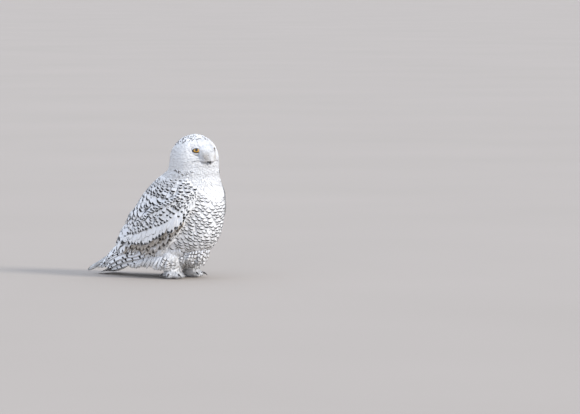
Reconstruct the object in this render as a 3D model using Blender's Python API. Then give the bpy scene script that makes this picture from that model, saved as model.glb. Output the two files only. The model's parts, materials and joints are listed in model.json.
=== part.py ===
"""A snowy owl standing with folded wings, life size, as a still museum model.

Units are metres. The bird faces -Y, +X is its left side and +Z is up. It stands on z = 0 on the soles
of both feet and the end of its tail. Points in the side view are given as (forward, height), where
forward is -Y and is counted from the middle of the head. At the end the whole bird is moved so that
the origin is the middle of its footprint box, on the floor.
"""

import math

import bmesh
import bpy
import numpy as np
from mathutils import Matrix, Vector
from mathutils.bvhtree import BVHTree

# ---------------------------------------------------------------- driving dimensions
CROWN_HEIGHT = 0.429
HEAD_MIDDLE = 0.348
HEAD_TURN = math.radians(14)  # the head looks this far round to the bird's right
EYE_RADIUS = 0.0135
EYE_SPREAD = math.radians(33)  # each eye from the middle of the face
EYE_HEIGHT = 0.380
EYE_DEPTH = 0.0495  # eye centre from the head's upright axis
GAP = 0.0004  # between neighbouring solids
AROUND = 32  # points round a body ring

# Body rings: (forward, height) of the front end, the same of the back end, and half the width.
NECK_RINGS = [
    ((0.067, 0.318), (-0.084, 0.320), 0.0735),
    ((0.0715, 0.303), (-0.098, 0.311), 0.0785),
    ((0.078, 0.285), (-0.114, 0.300), 0.084),
]
TRUNK_RINGS = NECK_RINGS[-1:] + [
    ((0.087, 0.255), (-0.142, 0.280), 0.093),
    ((0.092, 0.215), (-0.177, 0.246), 0.099),
    ((0.089, 0.172), (-0.206, 0.208), 0.100),
    ((0.076, 0.125), (-0.229, 0.170), 0.098),
    ((0.046, 0.086), (-0.245, 0.140), 0.089),
    ((-0.010, 0.062), (-0.255, 0.118), 0.076),
    ((-0.080, 0.054), (-0.262, 0.103), 0.061),
    ((-0.160, 0.052), (-0.266, 0.091), 0.048),
    ((-0.232, 0.052), (-0.262, 0.079), 0.038),
]


# ---------------------------------------------------------------- small helpers
def place(forward, left, height):
    return Vector((left, -forward, height))


def material(name, colour, roughness):
    found = bpy.data.materials.get(name)
    if found:
        return found
    made = bpy.data.materials.new(name)
    made.use_nodes = True
    shader = made.node_tree.nodes["Principled BSDF"]
    shader.inputs["Base Color"].default_value = (*colour, 1)
    shader.inputs["Roughness"].default_value = roughness
    return made


def plumage():
    return material("white_plumage", (0.86, 0.86, 0.85), 0.8)


def barred():
    return material("barred_plumage", (0.70, 0.69, 0.67), 0.8)


def horn():
    return material("black_horn", (0.02, 0.02, 0.022), 0.35)


def smooth_between(rows, steps):
    """Rows of numbers, run through with a Catmull-Rom curve at `steps` points a span."""
    rows = np.array(rows, float)
    padded = np.vstack([2 * rows[0] - rows[1], rows, 2 * rows[-1] - rows[-2]])
    found = []
    for k in range(len(rows) - 1):
        a, b, c, d = padded[k : k + 4]
        for t in np.arange(steps) / steps:
            found.append(
                0.5
                * (2 * b + (c - a) * t + (2 * a - 5 * b + 4 * c - d) * t**2 + (3 * b - a - 3 * c + d) * t**3)
            )
    return [*found, rows[-1]]


def loft(name, rings, finish, inflate=0.0):
    """A closed solid through rings of points, its ends capped flat. A ring of one point is a tip."""
    shape = bmesh.new()
    loops = [[shape.verts.new(p) for p in ring] for ring in rings]
    for near, far in zip(loops, loops[1:]):
        if len(near) == 1 or len(far) == 1:
            tip, loop = (near, far) if len(near) == 1 else (far, near)
            for k in range(len(loop)):
                shape.faces.new((tip[0], loop[k], loop[(k + 1) % len(loop)]))
            continue
        for k in range(len(near)):
            following = (k + 1) % len(near)
            shape.faces.new((near[k], near[following], far[following], far[k]))
    for end in (loops[0], loops[-1]):
        if len(end) > 1:
            shape.faces.new(end)
    bmesh.ops.recalc_face_normals(shape, faces=shape.faces)
    if inflate:
        shape.normal_update()
        for vert, normal in [(v, v.normal.copy()) for v in shape.verts]:
            vert.co += normal * inflate
    return finished(name, shape, finish)


def finished(name, shape, finish):
    """The object of a bmesh, shaded smooth but for its sharp edges."""
    mesh = bpy.data.meshes.new(name)
    shape.to_mesh(mesh)
    shape.free()
    mesh.materials.append(finish)
    mesh.shade_smooth()
    mesh.set_sharp_from_angle(angle=math.radians(40))
    made = bpy.data.objects.new(name, mesh)
    bpy.context.scene.collection.objects.link(made)
    return made


def combined(body, other, operation):
    """Applies a Boolean of `other` to `body`."""
    step = body.modifiers.new(operation.lower(), "BOOLEAN")
    step.operation = operation
    step.object = other
    graph = bpy.context.evaluated_depsgraph_get()
    mesh = bpy.data.meshes.new_from_object(body.evaluated_get(graph))
    body.modifiers.remove(step)
    old = body.data
    body.data = mesh
    bpy.data.meshes.remove(old)
    return body


def joined(body, other):
    """Puts the faces of `other` into `body`, and removes `other`."""
    shape = bmesh.new()
    shape.from_mesh(body.data)
    shape.from_mesh(other.data)
    shape.to_mesh(body.data)
    shape.free()
    dropped(other)


def melted(body, voxel, triangles):
    """Flows overlapping lumps together into one soft surface of about `triangles` triangles."""
    for kind, settings in (
        ("REMESH", {"mode": "VOXEL", "voxel_size": voxel}),
        ("SMOOTH", {"factor": 0.5, "iterations": 6}),
        ("TRIANGULATE", {}),
        ("DECIMATE", {"ratio": 1.0}),
    ):
        step = body.modifiers.new(kind.lower(), kind)
        for name, value in settings.items():
            setattr(step, name, value)
        if kind == "DECIMATE":
            step.ratio = min(1.0, triangles / len(body.data.polygons))
        graph = bpy.context.evaluated_depsgraph_get()
        mesh = bpy.data.meshes.new_from_object(body.evaluated_get(graph))
        body.modifiers.remove(step)
        body.data = mesh


def dropped(thing):
    """Removes a helper that has done its work."""
    bpy.data.objects.remove(thing, do_unlink=True)


def cut(body, *cutters):
    for cutter in cutters:
        combined(body, cutter, "DIFFERENCE")
        dropped(cutter)
    return body


def slab(low, high):
    """A broad box between two levels, to cut with."""
    shape = bmesh.new()
    bmesh.ops.create_cube(shape, size=1)
    for vert in shape.verts:
        vert.co = (vert.co.x, vert.co.y, low if vert.co.z < 0 else high)
    return finished("slab", shape, plumage())


# ---------------------------------------------------------------- body rings
def body_ring(front, back, half_width):
    """An oval from its front point to its back point, in the plane that holds them and the X axis."""
    front, back = place(front[0], 0, front[1]), place(back[0], 0, back[1])
    middle, half = (front + back) / 2, (front - back) / 2
    side = Vector((half_width, 0, 0))
    angles = [2 * math.pi * k / AROUND for k in range(AROUND)]
    return [middle + half * math.cos(a) + side * math.sin(a) for a in angles]


def body_rings(rows, steps):
    flat = [(*front, *back, width) for front, back, width in rows]
    return [body_ring(r[0:2], r[2:4], r[4]) for r in smooth_between(flat, steps)]


def trunk(name="trunk", inflate=0.0):
    rings = body_rings(TRUNK_RINGS, 2)
    if not inflate:
        rings[0] = [p - Vector((0, 0, GAP)) for p in rings[0]]
    return loft(name, rings, plumage(), inflate)


def neck():
    rings = body_rings(NECK_RINGS, 1)
    rings[0] = [p - Vector((0, 0, GAP)) for p in rings[0]]
    return loft("neck", rings, plumage())


# ---------------------------------------------------------------- head
HEAD_FRONT, HEAD_BACK, HEAD_SIDE = 0.068, 0.075, 0.075
RIM = NECK_RINGS[0]


def from_head(turn, radius, height):
    """A point round the head's upright axis, `turn` to the left of the way the face looks."""
    angle = turn - HEAD_TURN
    return place(radius * math.cos(angle), radius * math.sin(angle), height)


def bump(distance, reach):
    return math.exp(-((distance / reach) ** 2))


def face_relief(turn, height):
    """How far the face stands in front of the plain oval: dished discs, a ridge between, and brows."""
    relief = 0.0
    for side in (-1, 1):
        across = (turn - side * EYE_SPREAD) * 0.064
        up = height - EYE_HEIGHT
        relief -= 0.0062 * bump(math.hypot(across, up + 0.002), 0.017)
        relief += 0.0022 * bump(math.hypot(across + side * 0.004, (up - 0.017) * 2.2), 0.019)
        relief -= 0.0022 * bump(math.hypot(across - side * 0.004, up + 0.026), 0.016)
    beak_line = bump(turn * 0.064, 0.010)
    relief += 0.0052 * beak_line * bump(height - 0.362, 0.026)
    relief -= 0.0085 * bump(turn * 0.064, 0.013) * bump(height - 0.344, 0.009)
    relief -= 0.0035 * bump(turn * 0.064, 0.050) * bump(height - 0.420, 0.018)
    return relief


def head_radius(turn):
    """The plain oval's radius at its widest level."""
    along = HEAD_FRONT if math.cos(turn) > 0 else HEAD_BACK
    return 1 / math.hypot(math.cos(turn) / along, math.sin(turn) / HEAD_SIDE)


def head():
    rim = body_ring(*RIM)
    levels = 17
    rings = [[place(0, 0, CROWN_HEIGHT)]]
    for k in range(1, levels + 1):
        polar = math.radians(90) * k / levels
        height = HEAD_MIDDLE + (CROWN_HEIGHT - HEAD_MIDDLE) * math.cos(polar)
        rings.append(head_ring(height, math.sin(polar)))
    middle = rings[-1]
    for k in range(1, 5):
        share = k / 4
        height = HEAD_MIDDLE + (RIM[0][1] - HEAD_MIDDLE) * share
        plain = head_ring(height, 1)
        rings.append([a.lerp(b, share) for a, b in zip(plain, rim)])
    rings[-1] = [p + Vector((0, 0, GAP)) for p in rim]
    return loft("head", rings, plumage())


def head_ring(height, swell):
    ring = []
    for k in range(AROUND):
        world = 2 * math.pi * k / AROUND
        turn = math.remainder(world + HEAD_TURN, 2 * math.pi)
        radius = head_radius(turn) * swell + face_relief(turn, height)
        ring.append(from_head(turn, radius, height))
    return ring


def eye(name, side, extra=0.0):
    shape = bmesh.new()
    bmesh.ops.create_uvsphere(shape, u_segments=16, v_segments=10, radius=EYE_RADIUS + extra)
    middle = from_head(side * EYE_SPREAD, EYE_DEPTH, EYE_HEIGHT)
    look = (from_head(side * EYE_SPREAD, 1, 0) - place(0, 0, 0)).normalized()
    turn = look.to_track_quat("Z", "Y").to_matrix().to_4x4()
    bmesh.ops.transform(shape, matrix=Matrix.Translation(middle) @ turn, verts=shape.verts)
    return finished(name, shape, material("amber_eye", (0.80, 0.48, 0.05), 0.1))


BILL_UPPER = [  # (forward, height, half width, half depth)
    (0.046, 0.366, 0.0080, 0.0070),
    (0.060, 0.364, 0.0072, 0.0072),
    (0.069, 0.358, 0.0056, 0.0062),
    (0.0735, 0.350, 0.0036, 0.0040),
    (0.0735, 0.343, 0.0018, 0.0020),
]
BILL_LOWER = [
    (0.046, 0.352, 0.0065, 0.0030),
    (0.058, 0.3505, 0.0052, 0.0028),
    (0.066, 0.3475, 0.0030, 0.0020),
]


def bill(name, rows, tip, extra=0.0):
    """A horn that tapers along a curve in the middle plane of the face, with a round section."""
    rows = smooth_between(rows, 2)
    rings = []
    for k, (forward, height, width, depth) in enumerate(rows):
        before, after = rows[max(k - 1, 0)], rows[min(k + 1, len(rows) - 1)]
        run = Vector((after[0] - before[0], after[1] - before[1])).normalized()
        ring = []
        for step in range(10):
            a = 2 * math.pi * step / 10
            out, side = (depth + extra) * math.cos(a), (width + extra) * math.sin(a)
            at_forward, at_height = forward - run.y * out, height + run.x * out
            turn, radius = math.atan2(side, at_forward), math.hypot(side, at_forward)
            ring.append(from_head(turn, radius, at_height))
        rings.append(ring)
    rings.append([from_head(0, tip[0], tip[1] - extra)])
    return loft(name, rings, horn())


UPPER_TIP, LOWER_TIP = (0.0725, 0.3385), (0.068, 0.3462)


def build_head():
    skull = head()
    for side, name in ((-1, "eye_r"), (1, "eye_l")):
        cut(skull, eye(name + "_socket", side, GAP))
        eye(name, side)
    cut(skull, bill("upper_seat", BILL_UPPER, UPPER_TIP, GAP))
    cut(skull, bill("lower_seat", BILL_LOWER, LOWER_TIP, GAP))
    upper = bill("bill_upper", BILL_UPPER, UPPER_TIP)
    lower = bill("bill_lower", BILL_LOWER, LOWER_TIP)
    cut(lower, bill("lower_rest", BILL_UPPER, UPPER_TIP, GAP))
    return skull, upper, lower


# ---------------------------------------------------------------- wings and tail
# Wing sections: low edge and high edge as (forward, outward, height), and how far the arc bulges.
ARM_SECTIONS = [
    ((0.056, 0.068, 0.240), (0.053, 0.064, 0.259), 0.004),
    ((0.047, 0.084, 0.204), (0.022, 0.074, 0.262), 0.010),
    ((0.026, 0.092, 0.168), (-0.022, 0.086, 0.240), 0.012),
    ((-0.006, 0.094, 0.130), (-0.070, 0.088, 0.218), 0.014),
    ((-0.048, 0.090, 0.094), (-0.118, 0.080, 0.202), 0.018),
    ((-0.094, 0.082, 0.070), (-0.165, 0.060, 0.192), 0.024),
    ((-0.142, 0.073, 0.055), (-0.210, 0.028, 0.178), 0.030),
    ((-0.192, 0.063, 0.044), (-0.252, 0.008, 0.148), 0.032),
    ((-0.236, 0.054, 0.036), (-0.280, 0.004, 0.108), 0.024),
]
PRIMARY_SECTIONS_R = [
    ((-0.2385, 0.050, 0.036), (-0.2825, 0.005, 0.107), 0.022),
    ((-0.276, 0.043, 0.027), (-0.306, 0.004, 0.072), 0.013),
    ((-0.312, 0.036, 0.018), (-0.330, 0.004, 0.045), 0.006),
    ((-0.338, 0.030, 0.011), (-0.343, 0.012, 0.024), 0.002),
]
PRIMARY_SECTIONS_L = [
    ((-0.2385, 0.050, 0.038), (-0.2825, 0.006, 0.110), 0.022),
    ((-0.290, 0.026, 0.048), (-0.318, -0.008, 0.080), 0.010),
    ((-0.342, 0.002, 0.034), (-0.354, -0.020, 0.050), 0.004),
    ((-0.376, -0.028, 0.018), (-0.380, -0.038, 0.024), 0.001),
]
WING_DEPTH = 0.016  # how far a wing's section reaches in, before the trunk's shape is cut out of it
BLADE = 0.0035  # thickness of the flight feathers' stack
LIFT = 0.0055  # the least a folded wing stands off the trunk
ACROSS = 10


def arc_section(low, high, bulge, depth, side, run, body=None):
    """A closed arc from the high edge round to the low edge and back inside it."""
    low, high = place(low[0], side * low[1], low[2]), place(high[0], side * high[1], high[2])
    out = (high - low).cross(run).normalized()
    if out.x * side < 0:
        out.negate()
    outer, inner = [], []
    for k in range(ACROSS + 1):
        share = k / ACROSS
        arch = 4 * share * (1 - share)
        point, inward = high.lerp(low, share) + out * bulge * arch, out
        if body:
            hit, normal, _, _ = body.find_nearest(point)
            if normal.dot(out) > 0.3 and (point - hit).dot(normal) < LIFT:
                point, inward = hit + normal * LIFT, normal
        outer.append(point)
        inner.append(point - inward * (depth if body else depth * (0.25 + 0.75 * arch**0.5)))
    ring = outer + inner[::-1]
    if body:  # neither wing reaches past the middle of the back
        ring = [Vector((side * max(side * p.x, 0.002), p.y, p.z)) for p in ring]
    return ring


def wing_solid(name, sections, depth, side, steps, body=None, inflate=0.0):
    flat = [(*low, *high, bulge) for low, high, bulge in sections]
    rows = smooth_between(flat, steps)
    middles = [Vector((side * (r[1] + r[4]) / 2, -(r[0] + r[3]) / 2, (r[2] + r[5]) / 2)) for r in rows]
    rings = []
    for k, row in enumerate(rows):
        run = middles[min(k + 1, len(rows) - 1)] - middles[max(k - 1, 0)]
        rings.append(arc_section(row[0:3], row[3:6], row[6], depth, side, run, body))
    return loft(name, rings, barred(), inflate)


TAIL_ROWS = [  # (forward, height, half width, half thickness)
    (-0.236, 0.076, 0.026, 0.0120),
    (-0.268, 0.049, 0.034, 0.0080),
    (-0.300, 0.026, 0.039, 0.0055),
    (-0.328, 0.0085, 0.041, 0.0044),
    (-0.346, 0.0025, 0.038, 0.0038),
    (-0.354, 0.0015, 0.027, 0.0030),
]


def tail(name="tail", inflate=0.0):
    rows = smooth_between(TAIL_ROWS, 2)
    rings = []
    for k, (forward, height, width, thick) in enumerate(rows):
        before, after = rows[max(k - 1, 0)], rows[min(k + 1, len(rows) - 1)]
        run = Vector((after[0] - before[0], after[1] - before[1])).normalized()
        ring = []
        for step in range(24):
            a = 2 * math.pi * step / 24
            side = width * math.copysign(abs(math.cos(a)) ** 0.7, math.cos(a))
            up = thick * math.sin(a) - 0.10 * width * (side / width) ** 2
            ring.append(place(forward - run.y * up, side, height + run.x * up))
        rings.append(ring)
    made = loft(name, rings, barred(), inflate)
    return made if inflate else cut(made, slab(-0.05, 0.0), trunk(name + "_root", GAP))


# ---------------------------------------------------------------- legs and feet
LEG_SPREAD, LEG_FORWARD = 0.044, -0.052
ANKLE = 0.034
TOES = [  # (turn outwards from straight ahead in degrees, length, root radius)
    (20, 0.036, 0.0112),
    (-22, 0.035, 0.0112),
    (70, 0.031, 0.0108),
    (168, 0.026, 0.0100),
]


def leg(side, name, bed):
    rows = smooth_between([(ANKLE + GAP, 0.0225), (0.050, 0.030), (0.072, 0.040), (0.100, 0.044)], 2)
    rings = []
    for height, radius in rows:
        inward = 0.10 * (height - ANKLE)
        middle = place(LEG_FORWARD - 0.25 * (height - ANKLE), side * (LEG_SPREAD - inward), height)
        ring = [2 * math.pi * k / 20 for k in range(20)]
        rings.append([middle + Vector((radius * math.cos(a), 1.15 * radius * math.sin(a), 0)) for a in ring])
    made = loft(name, rings, plumage())
    wing = wing_solid(name + "_wing", ARM_SECTIONS, WING_DEPTH, side, 2, bed, GAP)
    return cut(made, trunk(name + "_cutter", GAP), wing)


def toe_line(side, turn, length):
    """(direction, root, end) of a toe on the floor."""
    angle = math.radians(turn)
    way = Vector((side * math.sin(angle), -math.cos(angle), 0))
    root = place(LEG_FORWARD, side * LEG_SPREAD, 0.013) + way * 0.0023
    return way, root, root + way * length


def toe(side, turn, length, radius):
    way, root, _ = toe_line(side, turn, length)
    across = way.cross(Vector((0, 0, 1)))
    rings = []
    for share, swell in ((0, 0.9), (0.25, 1.0), (0.55, 1.0), (0.8, 1.02), (0.93, 0.85), (1.0, 0.55)):
        middle = root + way * length * share - Vector((0, 0, 0.0035 * share))
        size = radius * swell
        ring = [2 * math.pi * k / 12 for k in range(12)]
        rings.append([middle + across * size * math.cos(a) + Vector((0, 0, size * math.sin(a))) for a in ring])
    return loft("toe", rings, plumage())


def claw(side, turn, length, name, extra=0.0):
    """A curved black talon from the end of a toe down to the floor."""
    way, root, end = toe_line(side, turn, length)
    across = way.cross(Vector((0, 0, 1)))
    reach, base, sweep = 0.024, 0.0034, math.radians(76)
    rings = []
    for share in (0, 0.2, 0.4, 0.6, 0.8):
        bend = share * sweep
        along, drop = reach * math.sin(bend) / 1.2, reach * (1 - math.cos(bend)) * 0.55
        middle = end + way * (along - 0.006) + Vector((0, 0, 0.0015 - drop))
        lean = math.sin(bend) * 0.6
        up = (Vector((0, 0, 1)) + way * lean).normalized()
        size = base * (1 - share) ** 0.7 + extra
        ring = [2 * math.pi * k / 6 for k in range(6)]
        rings.append([middle + across * size * 0.75 * math.cos(a) + up * size * math.sin(a) for a in ring])
    tip = end + way * (reach * math.sin(sweep) / 1.2 - 0.006)
    rings.append([tip + Vector((0, 0, 0.0015 - reach * (1 - math.cos(sweep)) * 0.55))])
    return loft(name, rings, horn())


def foot(side, letter):
    """The feathered toes and ankle as one solid, flat under the sole, with its talons."""
    shape = bmesh.new()
    bmesh.ops.create_icosphere(shape, subdivisions=3, radius=0.0255)
    middle = place(LEG_FORWARD, side * LEG_SPREAD, 0.018)
    lean = Matrix.Rotation(0.3, 4, (0.3, 0.5, 0.8))
    bmesh.ops.transform(shape, matrix=Matrix.Translation(middle) @ lean, verts=shape.verts)
    made = finished("foot_" + letter, shape, plumage())
    for turn, length, radius in TOES:
        part = toe(side, turn, length, radius)
        joined(made, part)
    melted(made, 0.0018, 330)
    cut(made, slab(-0.05, 0.0), slab(ANKLE, ANKLE + 0.05))
    for count, (turn, length, _) in enumerate(TOES, 1):
        name = f"claw_{letter}{count}"
        cut(made, claw(side, turn, length, name + "_seat", GAP))
        claw(side, turn, length, name)
    return made


# ---------------------------------------------------------------- the whole bird
def trunk_surface():
    """The trunk's faces, for wings to be laid on."""
    body = trunk("wing_bed", GAP)
    bed = BVHTree.FromObject(body, bpy.context.evaluated_depsgraph_get())
    dropped(body)
    return bed


def build_wings(bed):
    for side, letter, primaries in ((-1, "r", PRIMARY_SECTIONS_R), (1, "l", PRIMARY_SECTIONS_L)):
        arm = wing_solid("wing_" + letter, ARM_SECTIONS, WING_DEPTH, side, 2, bed)
        cut(arm, trunk("wing_cutter", GAP), tail("wing_tail_cutter", GAP))
        blade = wing_solid("primaries_" + letter, primaries, BLADE, side, 2)
        cut(blade, tail("blade_tail_cutter", GAP), trunk("blade_trunk_cutter", GAP))


def centred():
    """Moves every mesh so that the middle of the bird's box on the floor is the origin."""
    bpy.context.view_layer.update()
    corners = [v.co for o in bpy.context.scene.objects for v in o.data.vertices]
    low = Vector(min(c[i] for c in corners) for i in range(3))
    high = Vector(max(c[i] for c in corners) for i in range(3))
    shift = Vector((-(low.x + high.x) / 2, -(low.y + high.y) / 2, 0))
    for o in bpy.context.scene.objects:
        o.data.transform(Matrix.Translation(shift))
    print("bird moved by", [round(x, 5) for x in shift])


def main():
    for old in list(bpy.data.objects):
        bpy.data.objects.remove(old, do_unlink=True)
    build_head()
    neck()
    trunk()
    tail()
    bed = trunk_surface()
    build_wings(bed)
    for side, letter in ((-1, "r"), (1, "l")):
        leg(side, "leg_" + letter, bed)
        foot(side, letter)
    centred()


main()
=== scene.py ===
# %% [markdown]
# # A snowy owl, life size, in feathers made of mesh
# The frame holds the bird as plain solids: head, neck, trunk, wings, tail, legs, feet, bill, eyes and claws.
# This script turns them into a bird. One soft skin is drawn over the flesh, a little inside the solids, and
# feathers are laid over it in tracts, each with its own size, lie and marking, as they grow on a real owl.

# %% Load the frame
import json
import math
from functools import partial

import bmesh
import bpy
import numpy as np
from mathutils import Matrix, Vector
from mathutils.bvhtree import BVHTree
from mathutils.kdtree import KDTree

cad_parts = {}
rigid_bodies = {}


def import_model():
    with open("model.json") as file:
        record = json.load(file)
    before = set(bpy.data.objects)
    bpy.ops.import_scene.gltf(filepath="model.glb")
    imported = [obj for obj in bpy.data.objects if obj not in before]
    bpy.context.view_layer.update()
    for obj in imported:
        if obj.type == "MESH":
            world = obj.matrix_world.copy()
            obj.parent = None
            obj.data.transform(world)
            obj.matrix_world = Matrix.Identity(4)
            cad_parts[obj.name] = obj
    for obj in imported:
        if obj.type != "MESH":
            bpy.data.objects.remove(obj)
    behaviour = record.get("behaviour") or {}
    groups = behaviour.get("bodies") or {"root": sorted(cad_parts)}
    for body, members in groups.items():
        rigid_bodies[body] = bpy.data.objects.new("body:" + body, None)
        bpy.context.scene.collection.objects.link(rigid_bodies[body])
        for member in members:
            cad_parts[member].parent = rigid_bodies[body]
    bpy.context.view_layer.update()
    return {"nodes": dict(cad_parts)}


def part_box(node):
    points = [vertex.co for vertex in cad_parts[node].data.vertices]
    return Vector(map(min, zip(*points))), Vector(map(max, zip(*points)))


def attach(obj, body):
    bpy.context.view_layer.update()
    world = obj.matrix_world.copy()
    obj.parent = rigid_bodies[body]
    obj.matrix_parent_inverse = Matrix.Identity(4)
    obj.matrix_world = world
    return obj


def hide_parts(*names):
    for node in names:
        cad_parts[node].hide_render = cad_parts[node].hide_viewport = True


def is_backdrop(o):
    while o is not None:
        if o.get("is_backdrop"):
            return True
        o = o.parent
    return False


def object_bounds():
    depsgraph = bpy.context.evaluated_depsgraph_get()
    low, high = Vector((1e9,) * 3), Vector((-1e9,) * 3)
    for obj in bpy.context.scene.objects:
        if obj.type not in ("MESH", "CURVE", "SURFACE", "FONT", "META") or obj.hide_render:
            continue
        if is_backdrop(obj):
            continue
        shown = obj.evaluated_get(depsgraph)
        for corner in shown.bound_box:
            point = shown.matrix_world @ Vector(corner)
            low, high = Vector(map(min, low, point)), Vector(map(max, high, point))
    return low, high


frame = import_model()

chance = np.random.default_rng(11)  # later pieces take their own, so that one can change without the next

# %% [markdown]
# ## Where the bird's own landmarks are
# The body faces -Y, but the head looks a little to the bird's right. Everything on the face is placed in the
# head's own frame, which follows from the two eyes: they sit at one height, as far apart as the face says.

# %% Landmarks of the head and body


def middle_of(node):
    low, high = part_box(node)
    return (low + high) / 2


EYE_SPREAD = math.radians(33)
EYE_DEPTH = 0.0495
HEAD_MIDDLE = 0.348
UP = Vector((0, 0, 1))

eye_middle = {"r": middle_of("eye_r"), "l": middle_of("eye_l")}
eye_radius = (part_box("eye_r")[1].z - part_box("eye_r")[0].z) / 2
head_side = (eye_middle["l"] - eye_middle["r"]).normalized()  # towards the bird's left
head_front = head_side.cross(UP).normalized()
head_axis = (eye_middle["l"] + eye_middle["r"]) / 2 - head_front * EYE_DEPTH * math.cos(EYE_SPREAD)
print("head looks along", [round(x, 3) for x in head_front], "axis at", [round(x, 4) for x in head_axis])


def place(forward, left, height):
    """A point from the side view: forward of the head's axis, to the bird's left, and up."""
    return Vector((left, head_axis.y - forward, height))


def on_head(turn, radius, height):
    """A point round the head's upright axis, `turn` radians to the left of the face."""
    flat = head_front * math.cos(turn) + head_side * math.sin(turn)
    return Vector((head_axis.x, head_axis.y, height)) + flat * radius


# %% [markdown]
# ## Camera
# The bird is seen from its right and a little in front, from slightly above its own height, with a long lens
# that hardly shows perspective. The camera could come last, but the size of a feather in the view decides how
# finely it is worth building, so it is placed first. Its place is reckoned from the head's middle.

# %% Camera
AZIMUTH, ELEVATION, DISTANCE = math.radians(-52), math.radians(3.5), 12.0
VIEW_WIDTH = 1.711  # at the bird
SENSOR = 36.0
AIM_RIGHT, AIM_DOWN = 0.280, 0.136  # from the head's middle to the view's middle

towards = Vector(
    (
        math.sin(AZIMUTH) * math.cos(ELEVATION),
        -math.cos(AZIMUTH) * math.cos(ELEVATION),
        math.sin(ELEVATION),
    )
)
view_right = Vector((math.cos(AZIMUTH), math.sin(AZIMUTH), 0))
view_up = towards.cross(view_right)
aim = Vector((head_axis.x, head_axis.y, HEAD_MIDDLE)) + view_right * AIM_RIGHT - view_up * AIM_DOWN

camera = bpy.data.objects.new("camera", bpy.data.cameras.new("camera"))
bpy.context.scene.collection.objects.link(camera)
camera.data.sensor_width = SENSOR
camera.data.lens = SENSOR * DISTANCE / VIEW_WIDTH
camera.data.clip_end = 400
camera.location = aim + towards * DISTANCE
camera.rotation_euler = towards.to_track_quat("Z", "Y").to_euler()
bpy.context.scene.camera = camera
print("camera stands at", [round(x, 2) for x in camera.location], "lens", round(camera.data.lens))

# %% [markdown]
# ## Floor and light
# A plain pale floor and soft light. White plumage shows its shape only by shading, so the light has a side: a
# wide sun from the bird's front gives the breast its shine, and a pale blue sky fills the shaded flank and
# back, which is why white feathers look blue in the shade.

# %% Stage and light


def in_scene(name, data):
    """A new object with this data."""
    made = bpy.data.objects.new(name, data)
    bpy.context.scene.collection.objects.link(made)
    return made


def object_of(name, shape):
    """A new object with the faces of a bmesh, which this uses up."""
    mesh = bpy.data.meshes.new(name)
    shape.to_mesh(mesh)
    shape.free()
    return in_scene(name, mesh)


floor_shape = bmesh.new()
bmesh.ops.create_grid(floor_shape, x_segments=1, y_segments=1, size=200)
floor = object_of("floor", floor_shape)
floor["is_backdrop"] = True

key = in_scene("key", bpy.data.lights.new("key", "SUN"))
key.data.energy = 2.35
key.data.color = (1.0, 0.955, 0.89)
key.data.angle = math.radians(14)
key_from = view_right * 1.0 + towards * 0.62 + UP * 0.62
key.rotation_euler = key_from.to_track_quat("Z", "Y").to_euler()

world = bpy.data.worlds.new("studio")
bpy.context.scene.world = world
world.use_nodes = True
world.node_tree.nodes["Background"].inputs["Color"].default_value = (0.72, 0.80, 0.95, 1)
world.node_tree.nodes["Background"].inputs["Strength"].default_value = 1.25
bpy.context.scene.view_settings.view_transform = "Standard"

# %% [markdown]
# ## Writing shader maths as sums
# A material is a graph of nodes. Written node by node it is long and hard to read, so a small class wraps a
# socket and lets `a * b + c` add the Math nodes by itself. Any other node comes from one method.

# %% Shader helper


class Value:
    """A number or colour on a node's output socket; numbers can be added, multiplied and so on."""

    def __init__(self, shader, socket):
        self.shader, self.socket = shader, socket

    def _with(self, operation, first, second):
        return self.shader.node("ShaderNodeMath", {"operation": operation}, {0: first, 1: second})

    def __add__(self, other):
        return self._with("ADD", self, other)

    def __radd__(self, other):
        return self._with("ADD", other, self)

    def __sub__(self, other):
        return self._with("SUBTRACT", self, other)

    def __rsub__(self, other):
        return self._with("SUBTRACT", other, self)

    def __mul__(self, other):
        return self._with("MULTIPLY", self, other)

    def __rmul__(self, other):
        return self._with("MULTIPLY", other, self)

    def __truediv__(self, other):
        return self._with("DIVIDE", self, other)


class Shader:
    """A material and its Principled shader."""

    def __init__(self, name, roughness, **constants):
        self.material = bpy.data.materials.new(name)
        self.material.use_nodes = True
        self.tree = self.material.node_tree
        self.surface = self.tree.nodes["Principled BSDF"]
        self.surface.inputs["Roughness"].default_value = roughness
        for socket, value in constants.items():
            self.surface.inputs[socket.replace("_", " ")].default_value = value

    def node(self, kind, settings=None, sockets=None, out=0):
        """Adds a node: its settings first, then the values or links of its sockets."""
        made = self.tree.nodes.new(kind)
        for name, value in (settings or {}).items():
            if name == "stops":
                ramp = made.color_ramp
                while len(ramp.elements) < len(value):
                    ramp.elements.new(0.5)
                for element, (position, colour) in zip(ramp.elements, value):
                    element.position, element.color = position, (*colour, 1)
            else:
                setattr(made, name, value)
        for name, value in (sockets or {}).items():
            if isinstance(value, Value):
                self.tree.links.new(value.socket, made.inputs[name])
            else:
                made.inputs[name].default_value = value
        return Value(self, made.outputs[out])

    def attribute(self, name):
        return self.node("ShaderNodeAttribute", {"attribute_name": name}, out="Fac")

    def place(self):
        return self.node("ShaderNodeTexCoord", out="Object")

    def noise(self, scale, detail=3.0):
        return self.node(
            "ShaderNodeTexNoise", None, {"Vector": self.place(), "Scale": scale, "Detail": detail}
        )

    def ramp(self, factor, *stops):
        return self.node("ShaderNodeValToRGB", {"stops": stops}, {"Fac": factor})

    def mix(self, factor, first, second):
        """Two colours mixed by a factor."""
        whole = [(*c, 1) if isinstance(c, tuple) else c for c in (first, second)]
        return self.node(
            "ShaderNodeMix", {"data_type": "RGBA"}, {0: factor, 6: whole[0], 7: whole[1]}, out=2
        )

    def feed(self, socket, value):
        self.tree.links.new(value.socket, self.surface.inputs[socket])
        return self

    def bump(self, height, distance, strength=1.0):
        sockets = {"Height": height, "Distance": distance, "Strength": strength}
        return self.feed("Normal", self.node("ShaderNodeBump", None, sockets))


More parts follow.
